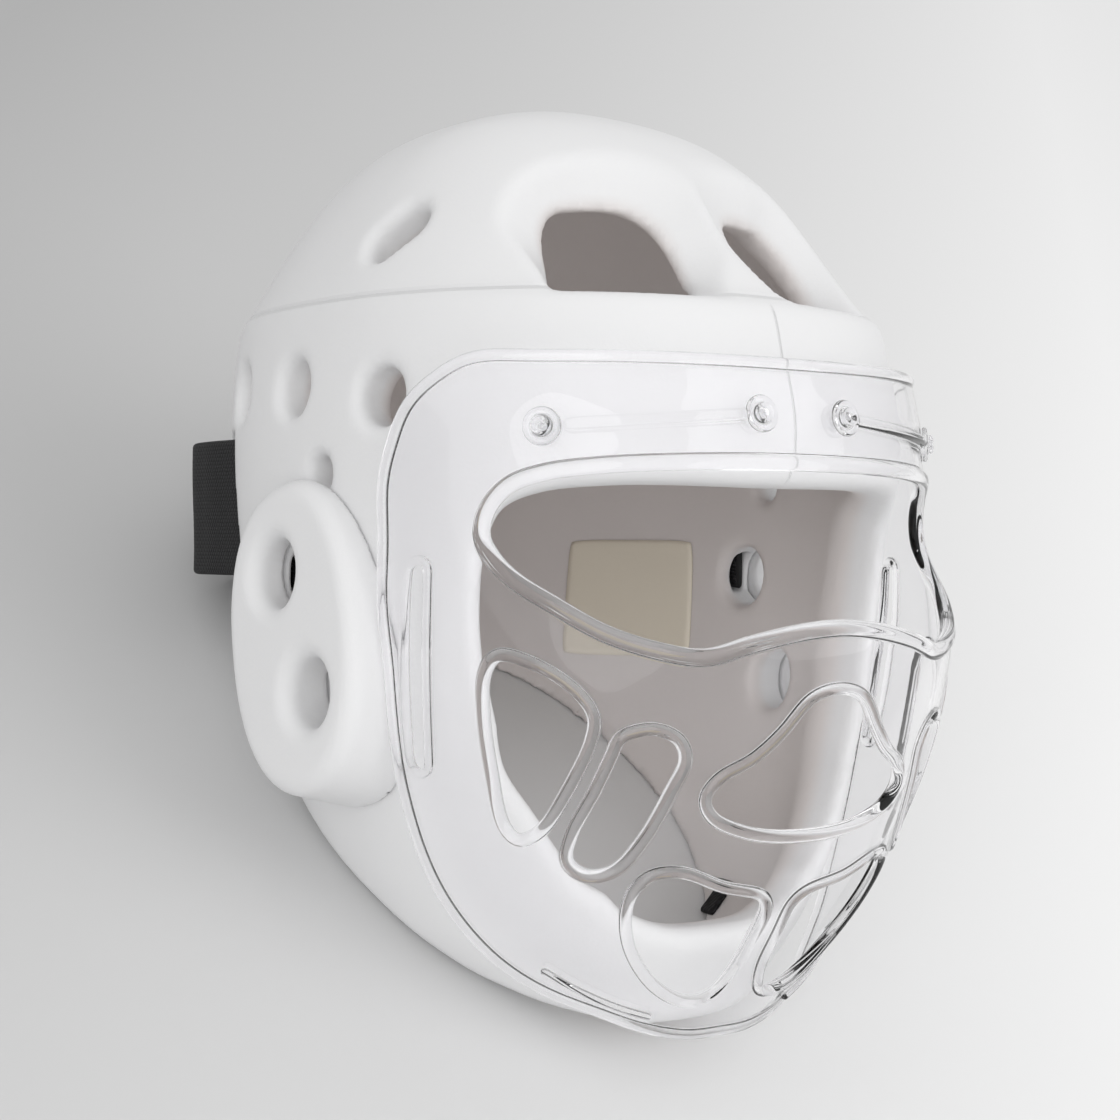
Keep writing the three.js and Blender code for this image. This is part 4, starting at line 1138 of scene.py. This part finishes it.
# ---- Strap and inner pieces ----
def make_strap(settings):
    """The rear strap: a flat rounded profile carried along its route, with its own map whose
    first direction runs along the strap in centimetres and whose second runs across."""
    line = strap_line(220)
    tangent = np.gradient(line, axis=0)
    tangent /= np.linalg.norm(tangent, axis=1)[:, None]
    normal = np.stack([tangent[:, 1], -tangent[:, 0]], 1)
    thick, half = settings.thickness * 500, settings.width * 500
    edge = np.linspace(0, math.pi, 7)
    count = 25
    across = np.linspace(-(half - thick), half - thick, count)
    profile = np.concatenate([
        np.stack([np.full(count, thick), across], 1)[:-1],
        np.stack([thick * np.cos(edge), half - thick + thick * np.sin(edge)], 1)[:-1],
        np.stack([np.full(count, -thick), across[::-1]], 1)[:-1],
        np.stack([-thick * np.cos(edge), -(half - thick) - thick * np.sin(edge)], 1)[:-1]])
    run = run_length(line)
    middle = STRAP["bottom"] + STRAP["height"] / 2 - strap_dip(line[:, 1])[:, None]
    wave = (STRAP["wave"] * np.sin(run / STRAP["wave_along"])[:, None]
            * np.sin(profile[None, :, 1] / STRAP["wave_across"]))
    side = profile[None, :, 0] + wave * (np.abs(profile[None, :, 0]) > 0)
    points = np.concatenate([line[:, None] + normal[:, None] * side[..., None],
                             (middle + profile[None, :, 1])[..., None]], -1).reshape(-1, 3)
    number = np.arange(side.size).reshape(side.shape)
    a, b = number[:-1], number[1:]
    quads = np.stack([a, b, np.roll(b, -1, 1), np.roll(a, -1, 1)], -1).reshape(-1, 4)
    ends = [number[0][None], number[-1][None, ::-1]]
    around = run_length(np.concatenate([profile, profile[:1]]))
    u0, v0 = np.broadcast_arrays(run[:-1, None], around[None, :-1])
    u1, v1 = np.broadcast_arrays(run[1:, None], around[None, 1:])
    uv = np.stack([np.stack([u0, v0], -1), np.stack([u1, v0], -1),
                   np.stack([u1, v1], -1), np.stack([u0, v1], -1)], 2)
    if outward_faces(points, quads) is not quads:
        quads, uv = quads[:, ::-1], uv[:, :, ::-1]
        ends = [e[:, ::-1] for e in ends]
    uv = np.concatenate([uv.reshape(-1, 2), np.zeros((2 * side.shape[1], 2))]) / 10
    new_piece("rear_strap_webbing", points, [quads, ends[0], ends[1]],
              webbing_material(settings), ["rear_strap"], uv)


def wall_patch(width, height, thickness, turn, middle, corner, rows):
    """A thin layer with rounded corners on the inner wall: a grid over its width and height,
    carried to just before the wall along a level line from the upright axis. The way there
    is found by stepping towards the wall's rounded section until it is reached."""
    u = np.linspace(-1, 1, rows + 1)
    a, b = np.meshgrid(u, u, indexing="ij")
    squeeze = lambda s, t: s * np.sqrt(np.maximum(1 - (corner * np.abs(t) ** 6), 0))
    across, high = squeeze(a, b) * width / 2, middle + squeeze(b, a) * height / 2
    turn = math.radians(turn)
    half, front, rear = (size - GAP for size in hollow_size(high, WALL))
    n = SHELL_SQUARENESS
    depth = np.full(across.shape, 60.0)
    for _ in range(31):
        x = across * math.cos(turn) + depth * math.sin(turn)
        y = across * math.sin(turn) - depth * math.cos(turn)
        reach = np.where(y < 0, front, rear)
        rho = ((np.abs(x) / half) ** n + (np.abs(y) / reach) ** n) ** (1 / n)
        depth = depth + (1 / rho - 1) * depth * 0.8
    outer = np.stack([x, y, high], -1)
    normal = np.cross(np.gradient(outer, axis=0), np.gradient(outer, axis=1))
    normal /= np.linalg.norm(normal, axis=-1)[..., None]
    centre = rows // 2, rows // 2
    if (normal[centre] * outer[centre] * [1, 1, 0]).sum() > 0:
        normal = -normal
    border = np.minimum(1 - np.abs(a), 1 - np.abs(b))
    lift = thickness * np.clip(border / 0.06, 0.35, 1)
    inner = outer + normal * lift[..., None]
    points = np.concatenate([outer.reshape(-1, 3), inner.reshape(-1, 3)])
    number = np.arange((rows + 1) ** 2).reshape(rows + 1, rows + 1)
    quad = np.stack([number[:-1, :-1], number[1:, :-1], number[1:, 1:], number[:-1, 1:]], -1)
    quad = quad.reshape(-1, 4)
    ring = np.concatenate([number[:-1, 0], number[-1, :-1], number[:0:-1, -1], number[0, :0:-1]])
    far = ring + number.size
    wall = np.stack([ring, np.roll(ring, -1), np.roll(far, -1), far], 1)
    faces = np.concatenate([quad[:, ::-1], quad + number.size, wall])
    return points, outward_faces(points, faces)


def make_patch(settings):
    """The blank patch on the inner wall."""
    points, faces = wall_patch(**PATCH)
    new_piece("inner_patch_blank", points, [faces], patch_material(settings),
              ["inner_patch"])


def make_chin_end(settings):
    """The end of the chin strap, lying on the inner wall of the jaw."""
    points, faces = wall_patch(**CHIN_END)
    new_piece("chin_strap_end_webbing", points, [faces], webbing_material(settings, False),
              ["chin_strap_end"])


# ---- Materials ----
def group_tree(name, inputs, outputs):
    """A shader node group with named sockets, and its input and output nodes."""
    tree = bpy.data.node_groups.new(name, "ShaderNodeTree")
    for socket, kind, value in inputs:
        made = tree.interface.new_socket(socket, in_out="INPUT", socket_type=kind)
        if value is not None:
            made.default_value = value
    for socket in outputs:
        tree.interface.new_socket(socket, in_out="OUTPUT", socket_type="NodeSocketFloat")
    return tree, tree.nodes.new("NodeGroupInput"), tree.nodes.new("NodeGroupOutput")


def math_node(tree, operation, first, second=0.5, clamp=False):
    """A math node fed by sockets or plain numbers; returns its result."""
    node = tree.nodes.new("ShaderNodeMath")
    node.operation = operation
    node.use_clamp = clamp
    for socket, value in zip(node.inputs, (first, second)):
        if isinstance(value, (int, float)):
            socket.default_value = value
        else:
            tree.links.new(value, socket)
    return node.outputs[0]


def noise_node(tree, vector, scale, detail=3.0):
    """A noise texture at a scale per metre; returns its value."""
    node = tree.nodes.new("ShaderNodeTexNoise")
    node.inputs["Scale"].default_value = scale
    node.inputs["Detail"].default_value = detail
    tree.links.new(vector, node.inputs["Vector"])
    return node.outputs["Fac"]


def split_vector(tree, vector):
    """The three parts of a vector."""
    node = tree.nodes.new("ShaderNodeSeparateXYZ")
    tree.links.new(vector, node.inputs[0])
    return node.outputs


def mixed_colour(tree, factor, first, second):
    """A colour that goes from the first to the second with a factor."""
    mix = tree.nodes.new("ShaderNodeMix")
    mix.data_type = "RGBA"
    mix.inputs["A"].default_value = (*first, 1)
    mix.inputs["B"].default_value = (*second, 1)
    tree.links.new(factor, mix.inputs["Factor"])
    return mix.outputs["Result"]


def line_near(tree, value, centre, half):
    """1 where a value equals the centre, falling evenly to 0 at half to either side."""
    apart = math_node(tree, "ABSOLUTE", math_node(tree, "SUBTRACT", value, centre))
    return math_node(tree, "SUBTRACT", 1.0, math_node(tree, "DIVIDE", apart, half), True)


def placed_group(tree, group, vector, values):
    """A node group placed in a material with its own values; returns its outputs."""
    node = tree.nodes.new("ShaderNodeGroup")
    node.node_tree = group
    for name, value in values.items():
        node.inputs[name].default_value = value
    tree.links.new(vector, node.inputs["Vector"])
    return node.outputs


def vinyl_skin_group():
    """Dipped vinyl: a slow wave and a fine grain in the height, and an uneven gloss."""
    name = "Vinyl skin"
    if name in bpy.data.node_groups:
        return bpy.data.node_groups[name]
    tree, given, result = group_tree(
        name, [("Vector", "NodeSocketVector", None), ("Grain", "NodeSocketFloat", 0.5),
               ("Gloss Change", "NodeSocketFloat", 0.1)], ["Height", "Roughness Change"])
    vector = given.outputs["Vector"]
    slow = noise_node(tree, vector, SKIN["wave"], 2.0)
    wave = math_node(tree, "MULTIPLY", slow, SKIN["wave_height"])
    fine = noise_node(tree, vector, SKIN["grain"], 4.0)
    grain = math_node(tree, "MULTIPLY", fine, given.outputs["Grain"])
    tree.links.new(math_node(tree, "ADD", wave, grain), result.inputs["Height"])
    spread = math_node(tree, "SUBTRACT", noise_node(tree, vector, SKIN["gloss"]), 0.5)
    tree.links.new(math_node(tree, "MULTIPLY", spread, given.outputs["Gloss Change"]),
                   result.inputs["Roughness Change"])
    return tree


def weave_group():
    """Plain webbing: warp ribs along the strap and weft rows across it, half a step apart on
    neighbouring ribs, as a height from 0 to 1."""
    name = "Webbing weave"
    if name in bpy.data.node_groups:
        return bpy.data.node_groups[name]
    tree, given, result = group_tree(
        name, [("Vector", "NodeSocketVector", None), ("Rib", "NodeSocketFloat", WEAVE["rib"]),
               ("Row", "NodeSocketFloat", WEAVE["row"])], ["Height"])
    along, across, _ = split_vector(tree, given.outputs["Vector"])
    ribs = math_node(tree, "DIVIDE", across, given.outputs["Rib"])
    rows = math_node(tree, "DIVIDE", along, given.outputs["Row"])
    odd = math_node(tree, "MULTIPLY", math_node(tree, "FLOOR", ribs, 0.0), 0.5)
    waves = []
    for count in (ribs, math_node(tree, "ADD", rows, odd)):
        turned = math_node(tree, "SINE", math_node(tree, "MULTIPLY", count, math.pi))
        waves.append(math_node(tree, "ABSOLUTE", turned))
    tree.links.new(math_node(tree, "MULTIPLY", *waves), result.inputs["Height"])
    return tree


def plain_material(name, colour, roughness):
    """A new material with its Principled shader set to a colour and a roughness, or None for
    the shader when the material has been made before."""
    material = bpy.data.materials.get(name)
    if material:
        return material, None
    material = bpy.data.materials.new(name)
    material.use_nodes = True
    shader = material.node_tree.nodes["Principled BSDF"]
    shader.inputs["Base Color"].default_value = (*colour, 1)
    shader.inputs["Roughness"].default_value = roughness
    return material, shader


def bump_from(tree, height, shader, distance, strength):
    """Feeds a height into the shader's normal through a bump node."""
    bump = tree.nodes.new("ShaderNodeBump")
    bump.inputs["Distance"].default_value = distance
    bump.inputs["Strength"].default_value = strength
    tree.links.new(height, bump.inputs["Height"])
    tree.links.new(bump.outputs["Normal"], shader.inputs["Normal"])


def object_place(tree):
    """The place on the piece, in metres."""
    return tree.nodes.new("ShaderNodeTexCoord").outputs["Object"]


def attribute(tree, name):
    """A value kept on the mesh."""
    node = tree.nodes.new("ShaderNodeAttribute")
    node.attribute_name = name
    return node.outputs["Fac"]


def foam_material(settings):
    """White vinyl-dipped foam: satin, with a duller inside painted slightly darker and warmer
    as shade, a moulded centre seam standing up in the brow and a fold sunk under the dome."""
    material, shader = plain_material("White vinyl foam", settings.colour, settings.roughness)
    if shader is None:
        return material
    tree = material.node_tree
    place = object_place(tree)
    skin = placed_group(tree, vinyl_skin_group(), place, {"Grain": 0.12, "Gloss Change": 0.12})
    inside = attribute(tree, "inside")
    gloss = math_node(tree, "ADD", skin["Roughness Change"], settings.roughness)
    duller = math_node(tree, "MULTIPLY", inside, INNER_DULLNESS)
    tree.links.new(math_node(tree, "ADD", gloss, duller), shader.inputs["Roughness"])
    # Painted shade: the inside takes the darker, warmer inner shade colour.
    colour = mixed_colour(tree, inside, settings.colour, settings.inner_shade_colour)
    tree.links.new(colour, shader.inputs["Base Color"])
    side, _, _ = split_vector(tree, place)
    seam = math_node(tree, "MULTIPLY", line_near(tree, side, 0.0, SEAM_LINE["half"]),
                     attribute(tree, "seam"))
    seam = math_node(tree, "MULTIPLY", seam, SEAM_LINE["rise"])
    height = attribute(tree, "height")
    fold = math_node(tree, "MULTIPLY", attribute(tree, "outside"),
                     line_near(tree, height, FOLD_LINE["height"], FOLD_LINE["half"]))
    fold = math_node(tree, "MULTIPLY", fold, FOLD_LINE["depth"])
    relief = math_node(tree, "SUBTRACT", math_node(tree, "ADD", skin["Height"], seam), fold)
    bump_from(tree, relief, shader, 0.0006, 0.8)
    return material


def clear_material(name, colour, roughness, refraction):
    """Clear moulded plastic. A shadow ray finds it transparent, so light passes into the
    headgear behind it."""
    material, shader = plain_material(name, colour, roughness)
    if shader is None:
        return material
    shader.inputs["Transmission Weight"].default_value = 1.0
    shader.inputs["IOR"].default_value = refraction
    tree = material.node_tree
    path = tree.nodes.new("ShaderNodeLightPath")
    clear = tree.nodes.new("ShaderNodeBsdfTransparent")
    clear.inputs["Color"].default_value = (*(SHADOW_CLEARNESS * c for c in colour), 1)
    mix = tree.nodes.new("ShaderNodeMixShader")
    tree.links.new(path.outputs["Is Shadow Ray"], mix.inputs["Fac"])
    tree.links.new(shader.outputs["BSDF"], mix.inputs[1])
    tree.links.new(clear.outputs["BSDF"], mix.inputs[2])
    tree.links.new(mix.outputs["Shader"], tree.nodes["Material Output"].inputs["Surface"])
    return material


def shield_material(settings):
    """The shield's clear plastic, very slightly violet."""
    return clear_material("Clear shield plastic", settings.colour, settings.roughness,
                          settings.refraction)


def screw_material(settings):
    """The screws' clear plastic."""
    return clear_material("Clear screw plastic", settings.screw_colour, 0.06, settings.refraction)


def webbing_material(settings, along_strap=True):
    """Black woven webbing with a soft sheen, painted lighter on the weave's ribs as sheen and
    darker in its hollows as shade. On the strap it follows the strap's own map in centimetres,
    elsewhere the place on the piece in metres."""
    name = "Black strap webbing" if along_strap else "Black webbing end"
    material, shader = plain_material(name, settings.colour, 0.72)
    if shader is None:
        return material
    tree = material.node_tree
    if along_strap:
        place, unit = tree.nodes.new("ShaderNodeTexCoord").outputs["UV"], 10
    else:
        place, unit = object_place(tree), 1000
    weave = placed_group(tree, weave_group(), place,
                         {"Rib": WEAVE["rib"] / unit, "Row": WEAVE["row"] / unit})
    # Painted shade and sheen: the colour is darkest in the weave's hollows and lightest on its
    # ribs.
    dark, light = ([WEAVE[k] * c for c in settings.colour] for k in ("dark", "light"))
    tree.links.new(mixed_colour(tree, weave["Height"], dark, light), shader.inputs["Base Color"])
    bump_from(tree, weave["Height"], shader, 0.0004, 0.9)
    return material


def patch_material(settings):
    """Cream vinyl."""
    material, shader = plain_material("Cream vinyl patch", settings.patch_colour, 0.5)
    if shader is None:
        return material
    tree = material.node_tree
    skin = placed_group(tree, vinyl_skin_group(), object_place(tree), {"Grain": 0.3})
    bump_from(tree, skin["Height"], shader, 0.0003, 0.6)
    return material


def keep_values(piece, **values):
    """Keeps named values on the points of a piece for its material."""
    for name, value in values.items():
        layer = piece.data.attributes.new(name, "FLOAT", "POINT")
        layer.data.foreach_set("value", value.astype(np.float32))


# ---- Stage ----
def floor_material(settings):
    """A pale floor that slowly grows lighter from the -X side to the +X side: a painted shade
    that deepens towards -X.
    """
    material, shader = plain_material("Pale floor", settings.floor_colour, 0.9)
    if shader is None:
        return material
    tree = material.node_tree
    x, y, _ = split_vector(tree, object_place(tree))
    along = math_node(tree, "SUBTRACT", math_node(tree, "MULTIPLY", x, FLOOR_WAY[0]),
                      math_node(tree, "MULTIPLY", y, FLOOR_WAY[1]))
    along = math_node(tree, "DIVIDE", along, settings.floor_span)
    share = math_node(tree, "ADD", along, 0.5, True)
    # Painted shade: the floor's colour darkens towards -X.
    colour = mixed_colour(tree, share, settings.floor_painted_shade, settings.floor_colour)
    tree.links.new(colour, shader.inputs["Base Color"])
    return material


def make_stage(settings):
    """A pale floor that fills the frame, a pale sky, soft lights and the fitted camera."""
    h = FLOOR_HALF
    mesh = bpy.data.meshes.new("floor")
    mesh.from_pydata([(-h, -h, 0), (h, -h, 0), (h, h, 0), (-h, h, 0)], [], [(0, 1, 2, 3)])
    mesh.materials.append(floor_material(settings))
    floor = bpy.data.objects.new("floor", mesh)
    bpy.context.scene.collection.objects.link(floor)

    world = bpy.data.worlds.new("Studio")
    world.use_nodes = True
    background = world.node_tree.nodes["Background"]
    background.inputs["Color"].default_value = (*settings.sky_colour, 1)
    background.inputs["Strength"].default_value = settings.sky
    bpy.context.scene.world = world
    bpy.context.scene.view_settings.view_transform = "Standard"
    bpy.context.scene.view_settings.look = "None"

    for name, power, place, size, target in LIGHTS:
        lamp = bpy.data.lights.new(name, "AREA")
        lamp.energy = getattr(settings, power)
        lamp.shape = "DISK"
        lamp.size = size
        stand = bpy.data.objects.new(name, lamp)
        stand.location = place
        aim = Vector(target) - Vector(place)
        stand.rotation_euler = aim.to_track_quat("-Z", "Y").to_euler()
        stand.visible_glossy = False
        bpy.context.scene.collection.objects.link(stand)
    aim_camera()


def aim_camera():
    """The fitted camera: placed round its aim by azimuth and elevation in the worn frame,
    rolled, then carried into the row frame like the pieces."""
    a, e, r = (math.radians(CAMERA[k]) for k in ("azimuth", "elevation", "roll"))
    back = np.array([math.sin(a) * math.cos(e), -math.cos(a) * math.cos(e), math.sin(e)])
    eye = np.array(CAMERA["aim"]) + CAMERA["distance"] * back
    right = np.cross(-back, [0.0, 0.0, 1.0])
    right /= np.linalg.norm(right)
    upward = np.cross(right, -back)
    axes = np.stack([right * math.cos(r) + upward * math.sin(r),
                     upward * math.cos(r) - right * math.sin(r), back])
    matrix = np.eye(4)
    matrix[:3, :3] = turn_to_world(axes).T
    matrix[:3, 3] = to_world(eye)
    data = bpy.data.cameras.new("fitted")
    frame_size = CAMERA["frame"]
    data.lens = data.sensor_width * CAMERA["focal"] / frame_size
    data.shift_x = (frame_size / 2 - CAMERA["centre"][0]) / frame_size
    data.shift_y = (CAMERA["centre"][1] - frame_size / 2) / frame_size
    data.clip_start = 0.02
    data.clip_end = 100.0
    camera = bpy.data.objects.new("fitted", data)
    camera.matrix_world = Matrix(matrix.tolist())
    bpy.context.scene.collection.objects.link(camera)
    bpy.context.scene.camera = camera


# ---- The add-on ----
def metres(name, text, default):
    """A length property in metres."""
    return FloatProperty(name=name, description=text, default=default, min=1e-5, unit="LENGTH")


def paint(name, text, default):
    """A colour property."""
    return FloatVectorProperty(name=name, description=text, default=default, size=3, min=0, max=1,
                               subtype="COLOR")


def plain(name, text, default):
    """A plain number property."""
    return FloatProperty(name=name, description=text, default=default, min=0)


class HeadgearFoam(bpy.types.PropertyGroup):
    """Sizes and looks of the foam pieces."""
    thickness: metres("Thickness", "Thickness of the foam wall", WALL * 0.001)
    rim_round: metres("Rim rounding", "Rounding of the neck rim", 0.006)
    opening_round: metres("Opening rounding", "Rounding of the face opening's outer edge", 0.007)
    inner_round: metres("Inner rounding", "Rounding of the edges inside", 0.003)
    hole_round: metres("Hole rounding", "Flare of the air holes", 0.0042)
    vent_bowl: metres("Vent bowl", "How much wider the crown vents' bowls are at the top", 0.011)
    ear_round: metres("Ear rounding", "Rounding of the ear cups' outer edge", 0.0048)
    cell: metres("Shell step", "Step of the shell's surface net", 0.00199)
    ear_cell: metres("Ear step", "Step of the ear cups' surface net", 0.00125)
    colour: paint("Colour", "Colour of the vinyl skin", (0.765, 0.765, 0.77))
    # The inside's colour is painted shade: darker and warmer than the skin.
    inner_shade_colour: paint("Inner shade colour", "Colour of the skin inside, darkened as painted shade", (0.70, 0.66, 0.645))
    roughness: plain("Roughness", "Roughness of the vinyl skin", 0.42)


class HeadgearShield(bpy.types.PropertyGroup):
    """Sizes and looks of the clear shield and its screws."""
    thickness: metres("Thickness", "Thickness of the clear sheet", 0.0022)
    bead: metres("Bead radius", "Radius of the bead round most edges", 0.00195)
    eye_bead: metres("Eye bead radius", "Radius of the bead round the eye opening", 0.0025)
    rod: metres("Rod radius", "Radius of the raised rods between the screws", 0.0016)
    step: metres("Bead step", "Step along the beads", 0.0014)
    net: metres("Net step", "Step of the sheet's net", 0.0023)
    screw_radius: metres("Screw radius", "Radius of a screw's head", 0.0054)
    screw_height: metres("Screw height", "Height of a screw's head", 0.0032)
    colour: paint("Colour", "Colour of the clear sheet", (0.985, 0.982, 0.99))
    screw_colour: paint("Screw colour", "Colour of the clear screws", (0.975, 0.975, 0.98))
    roughness: plain("Roughness", "Roughness of the clear sheet", 0.02)
    refraction: plain("Refraction", "Refractive index of the clear plastic", 1.46)


class HeadgearWebbing(bpy.types.PropertyGroup):
    """Sizes and looks of the strap and the inner pieces."""
    thickness: metres("Thickness", "Thickness of the rear strap", 0.003)
    width: metres("Width", "Width of the rear strap", STRAP["height"] * 0.001)
    colour: paint("Colour", "Colour of the webbing", (0.008, 0.008, 0.009))
    patch_colour: paint("Patch colour", "Colour of the blank patch", (0.80, 0.74, 0.62))


class HeadgearStage(bpy.types.PropertyGroup):
    """Floor, sky and lights."""
    floor_colour: paint("Floor colour", "Colour of the floor's light side", (0.88, 0.88, 0.88))
    # The floor's darker side is painted shade.
    floor_painted_shade: paint("Floor shade", "Colour of the floor's darker side", (0.44, 0.44, 0.44))
    floor_span: metres("Floor span", "Width over which the floor changes", 0.62)
    sky_colour: paint("Sky colour", "Colour of the sky", (1.0, 1.0, 1.0))
    sky: plain("Sky strength", "Strength of the sky", 0.81)
    key: plain("Key power", "Power of the key light in watts", 8.0)
    fill: plain("Fill power", "Power of the front light in watts", 7.0)


class PieceOperator:
    """What the operators share: a piece is made from one property group, and the operator
    stops with an error when the piece can't be made."""
    bl_options = {"REGISTER", "UNDO"}
    group = ""

    def execute(self, context):
        before = len(bpy.data.objects)
        self.make(getattr(context.scene, self.group))
        if len(bpy.data.objects) == before:
            raise RuntimeError(f"{self.bl_label} made nothing")
        return {"FINISHED"}


class HEADGEAR_OT_foam_shell(PieceOperator, bpy.types.Operator):
    """Makes the foam shell"""
    bl_idname = "headgear.foam_shell"
    bl_label = "Foam shell"
    group = "headgear_foam"

    def make(self, settings):
        make_shell(settings)


class HEADGEAR_OT_ear_cups(PieceOperator, bpy.types.Operator):
    """Makes both ear cups"""
    bl_idname = "headgear.ear_cups"
    bl_label = "Ear cups"
    group = "headgear_foam"

    def make(self, settings):
        for side in (-1, 1):
            make_ear_cup(settings, side)


class HEADGEAR_OT_face_shield(PieceOperator, bpy.types.Operator):
    """Makes the clear face shield"""
    bl_idname = "headgear.face_shield"
    bl_label = "Face shield"
    group = "headgear_shield"

    def make(self, settings):
        make_shield(settings)


class HEADGEAR_OT_screws(PieceOperator, bpy.types.Operator):
    """Makes the four clear screws"""
    bl_idname = "headgear.screws"
    bl_label = "Shield screws"
    group = "headgear_shield"

    def make(self, settings):
        for name, side, height in SCREWS:
            make_screw(settings, name, side, height)


class HEADGEAR_OT_rear_strap(PieceOperator, bpy.types.Operator):
    """Makes the rear strap"""
    bl_idname = "headgear.rear_strap"
    bl_label = "Rear strap"
    group = "headgear_webbing"

    def make(self, settings):
        make_strap(settings)


class HEADGEAR_OT_inner_pieces(PieceOperator, bpy.types.Operator):
    """Makes the blank patch and the chin strap's end inside the shell"""
    bl_idname = "headgear.inner_pieces"
    bl_label = "Inner patch and strap end"
    group = "headgear_webbing"

    def make(self, settings):
        make_patch(settings)
        make_chin_end(settings)


class HEADGEAR_OT_stage(PieceOperator, bpy.types.Operator):
    """Makes the floor, the sky, the lights and the camera"""
    bl_idname = "headgear.stage"
    bl_label = "Stage"
    group = "headgear_stage"

    def make(self, settings):
        make_stage(settings)


OPERATORS = [HEADGEAR_OT_foam_shell, HEADGEAR_OT_ear_cups, HEADGEAR_OT_face_shield,
             HEADGEAR_OT_screws, HEADGEAR_OT_rear_strap, HEADGEAR_OT_inner_pieces,
             HEADGEAR_OT_stage]
GROUPS = {"headgear_foam": HeadgearFoam, "headgear_shield": HeadgearShield,
          "headgear_webbing": HeadgearWebbing, "headgear_stage": HeadgearStage}


class HEADGEAR_PT_panel(bpy.types.Panel):
    """Lists the operators and their sizes"""
    bl_label = "Sparring headgear"
    bl_idname = "HEADGEAR_PT_panel"
    bl_space_type = "VIEW_3D"
    bl_region_type = "UI"
    bl_category = "Headgear"

    def draw(self, context):
        for operator in OPERATORS:
            self.layout.operator(operator.bl_idname)
        for name, group in GROUPS.items():
            box = self.layout.box()
            for field in group.__annotations__:
                box.prop(getattr(context.scene, name), field)


def register():
    for made in [*GROUPS.values(), *OPERATORS, HEADGEAR_PT_panel]:
        bpy.utils.register_class(made)
    for name, group in GROUPS.items():
        setattr(bpy.types.Scene, name, PointerProperty(type=group))


def unregister():
    for name in GROUPS:
        delattr(bpy.types.Scene, name)
    for made in [HEADGEAR_PT_panel, *OPERATORS[::-1], *reversed(GROUPS.values())]:
        bpy.utils.unregister_class(made)


def main():
    """Registers the add-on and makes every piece."""
    register()
    bpy.ops.headgear.foam_shell()
    bpy.ops.headgear.ear_cups()
    bpy.ops.headgear.face_shield()
    bpy.ops.headgear.screws()
    bpy.ops.headgear.rear_strap()
    bpy.ops.headgear.inner_pieces()
    bpy.ops.headgear.stage()


if __name__ == "__main__":
    main()
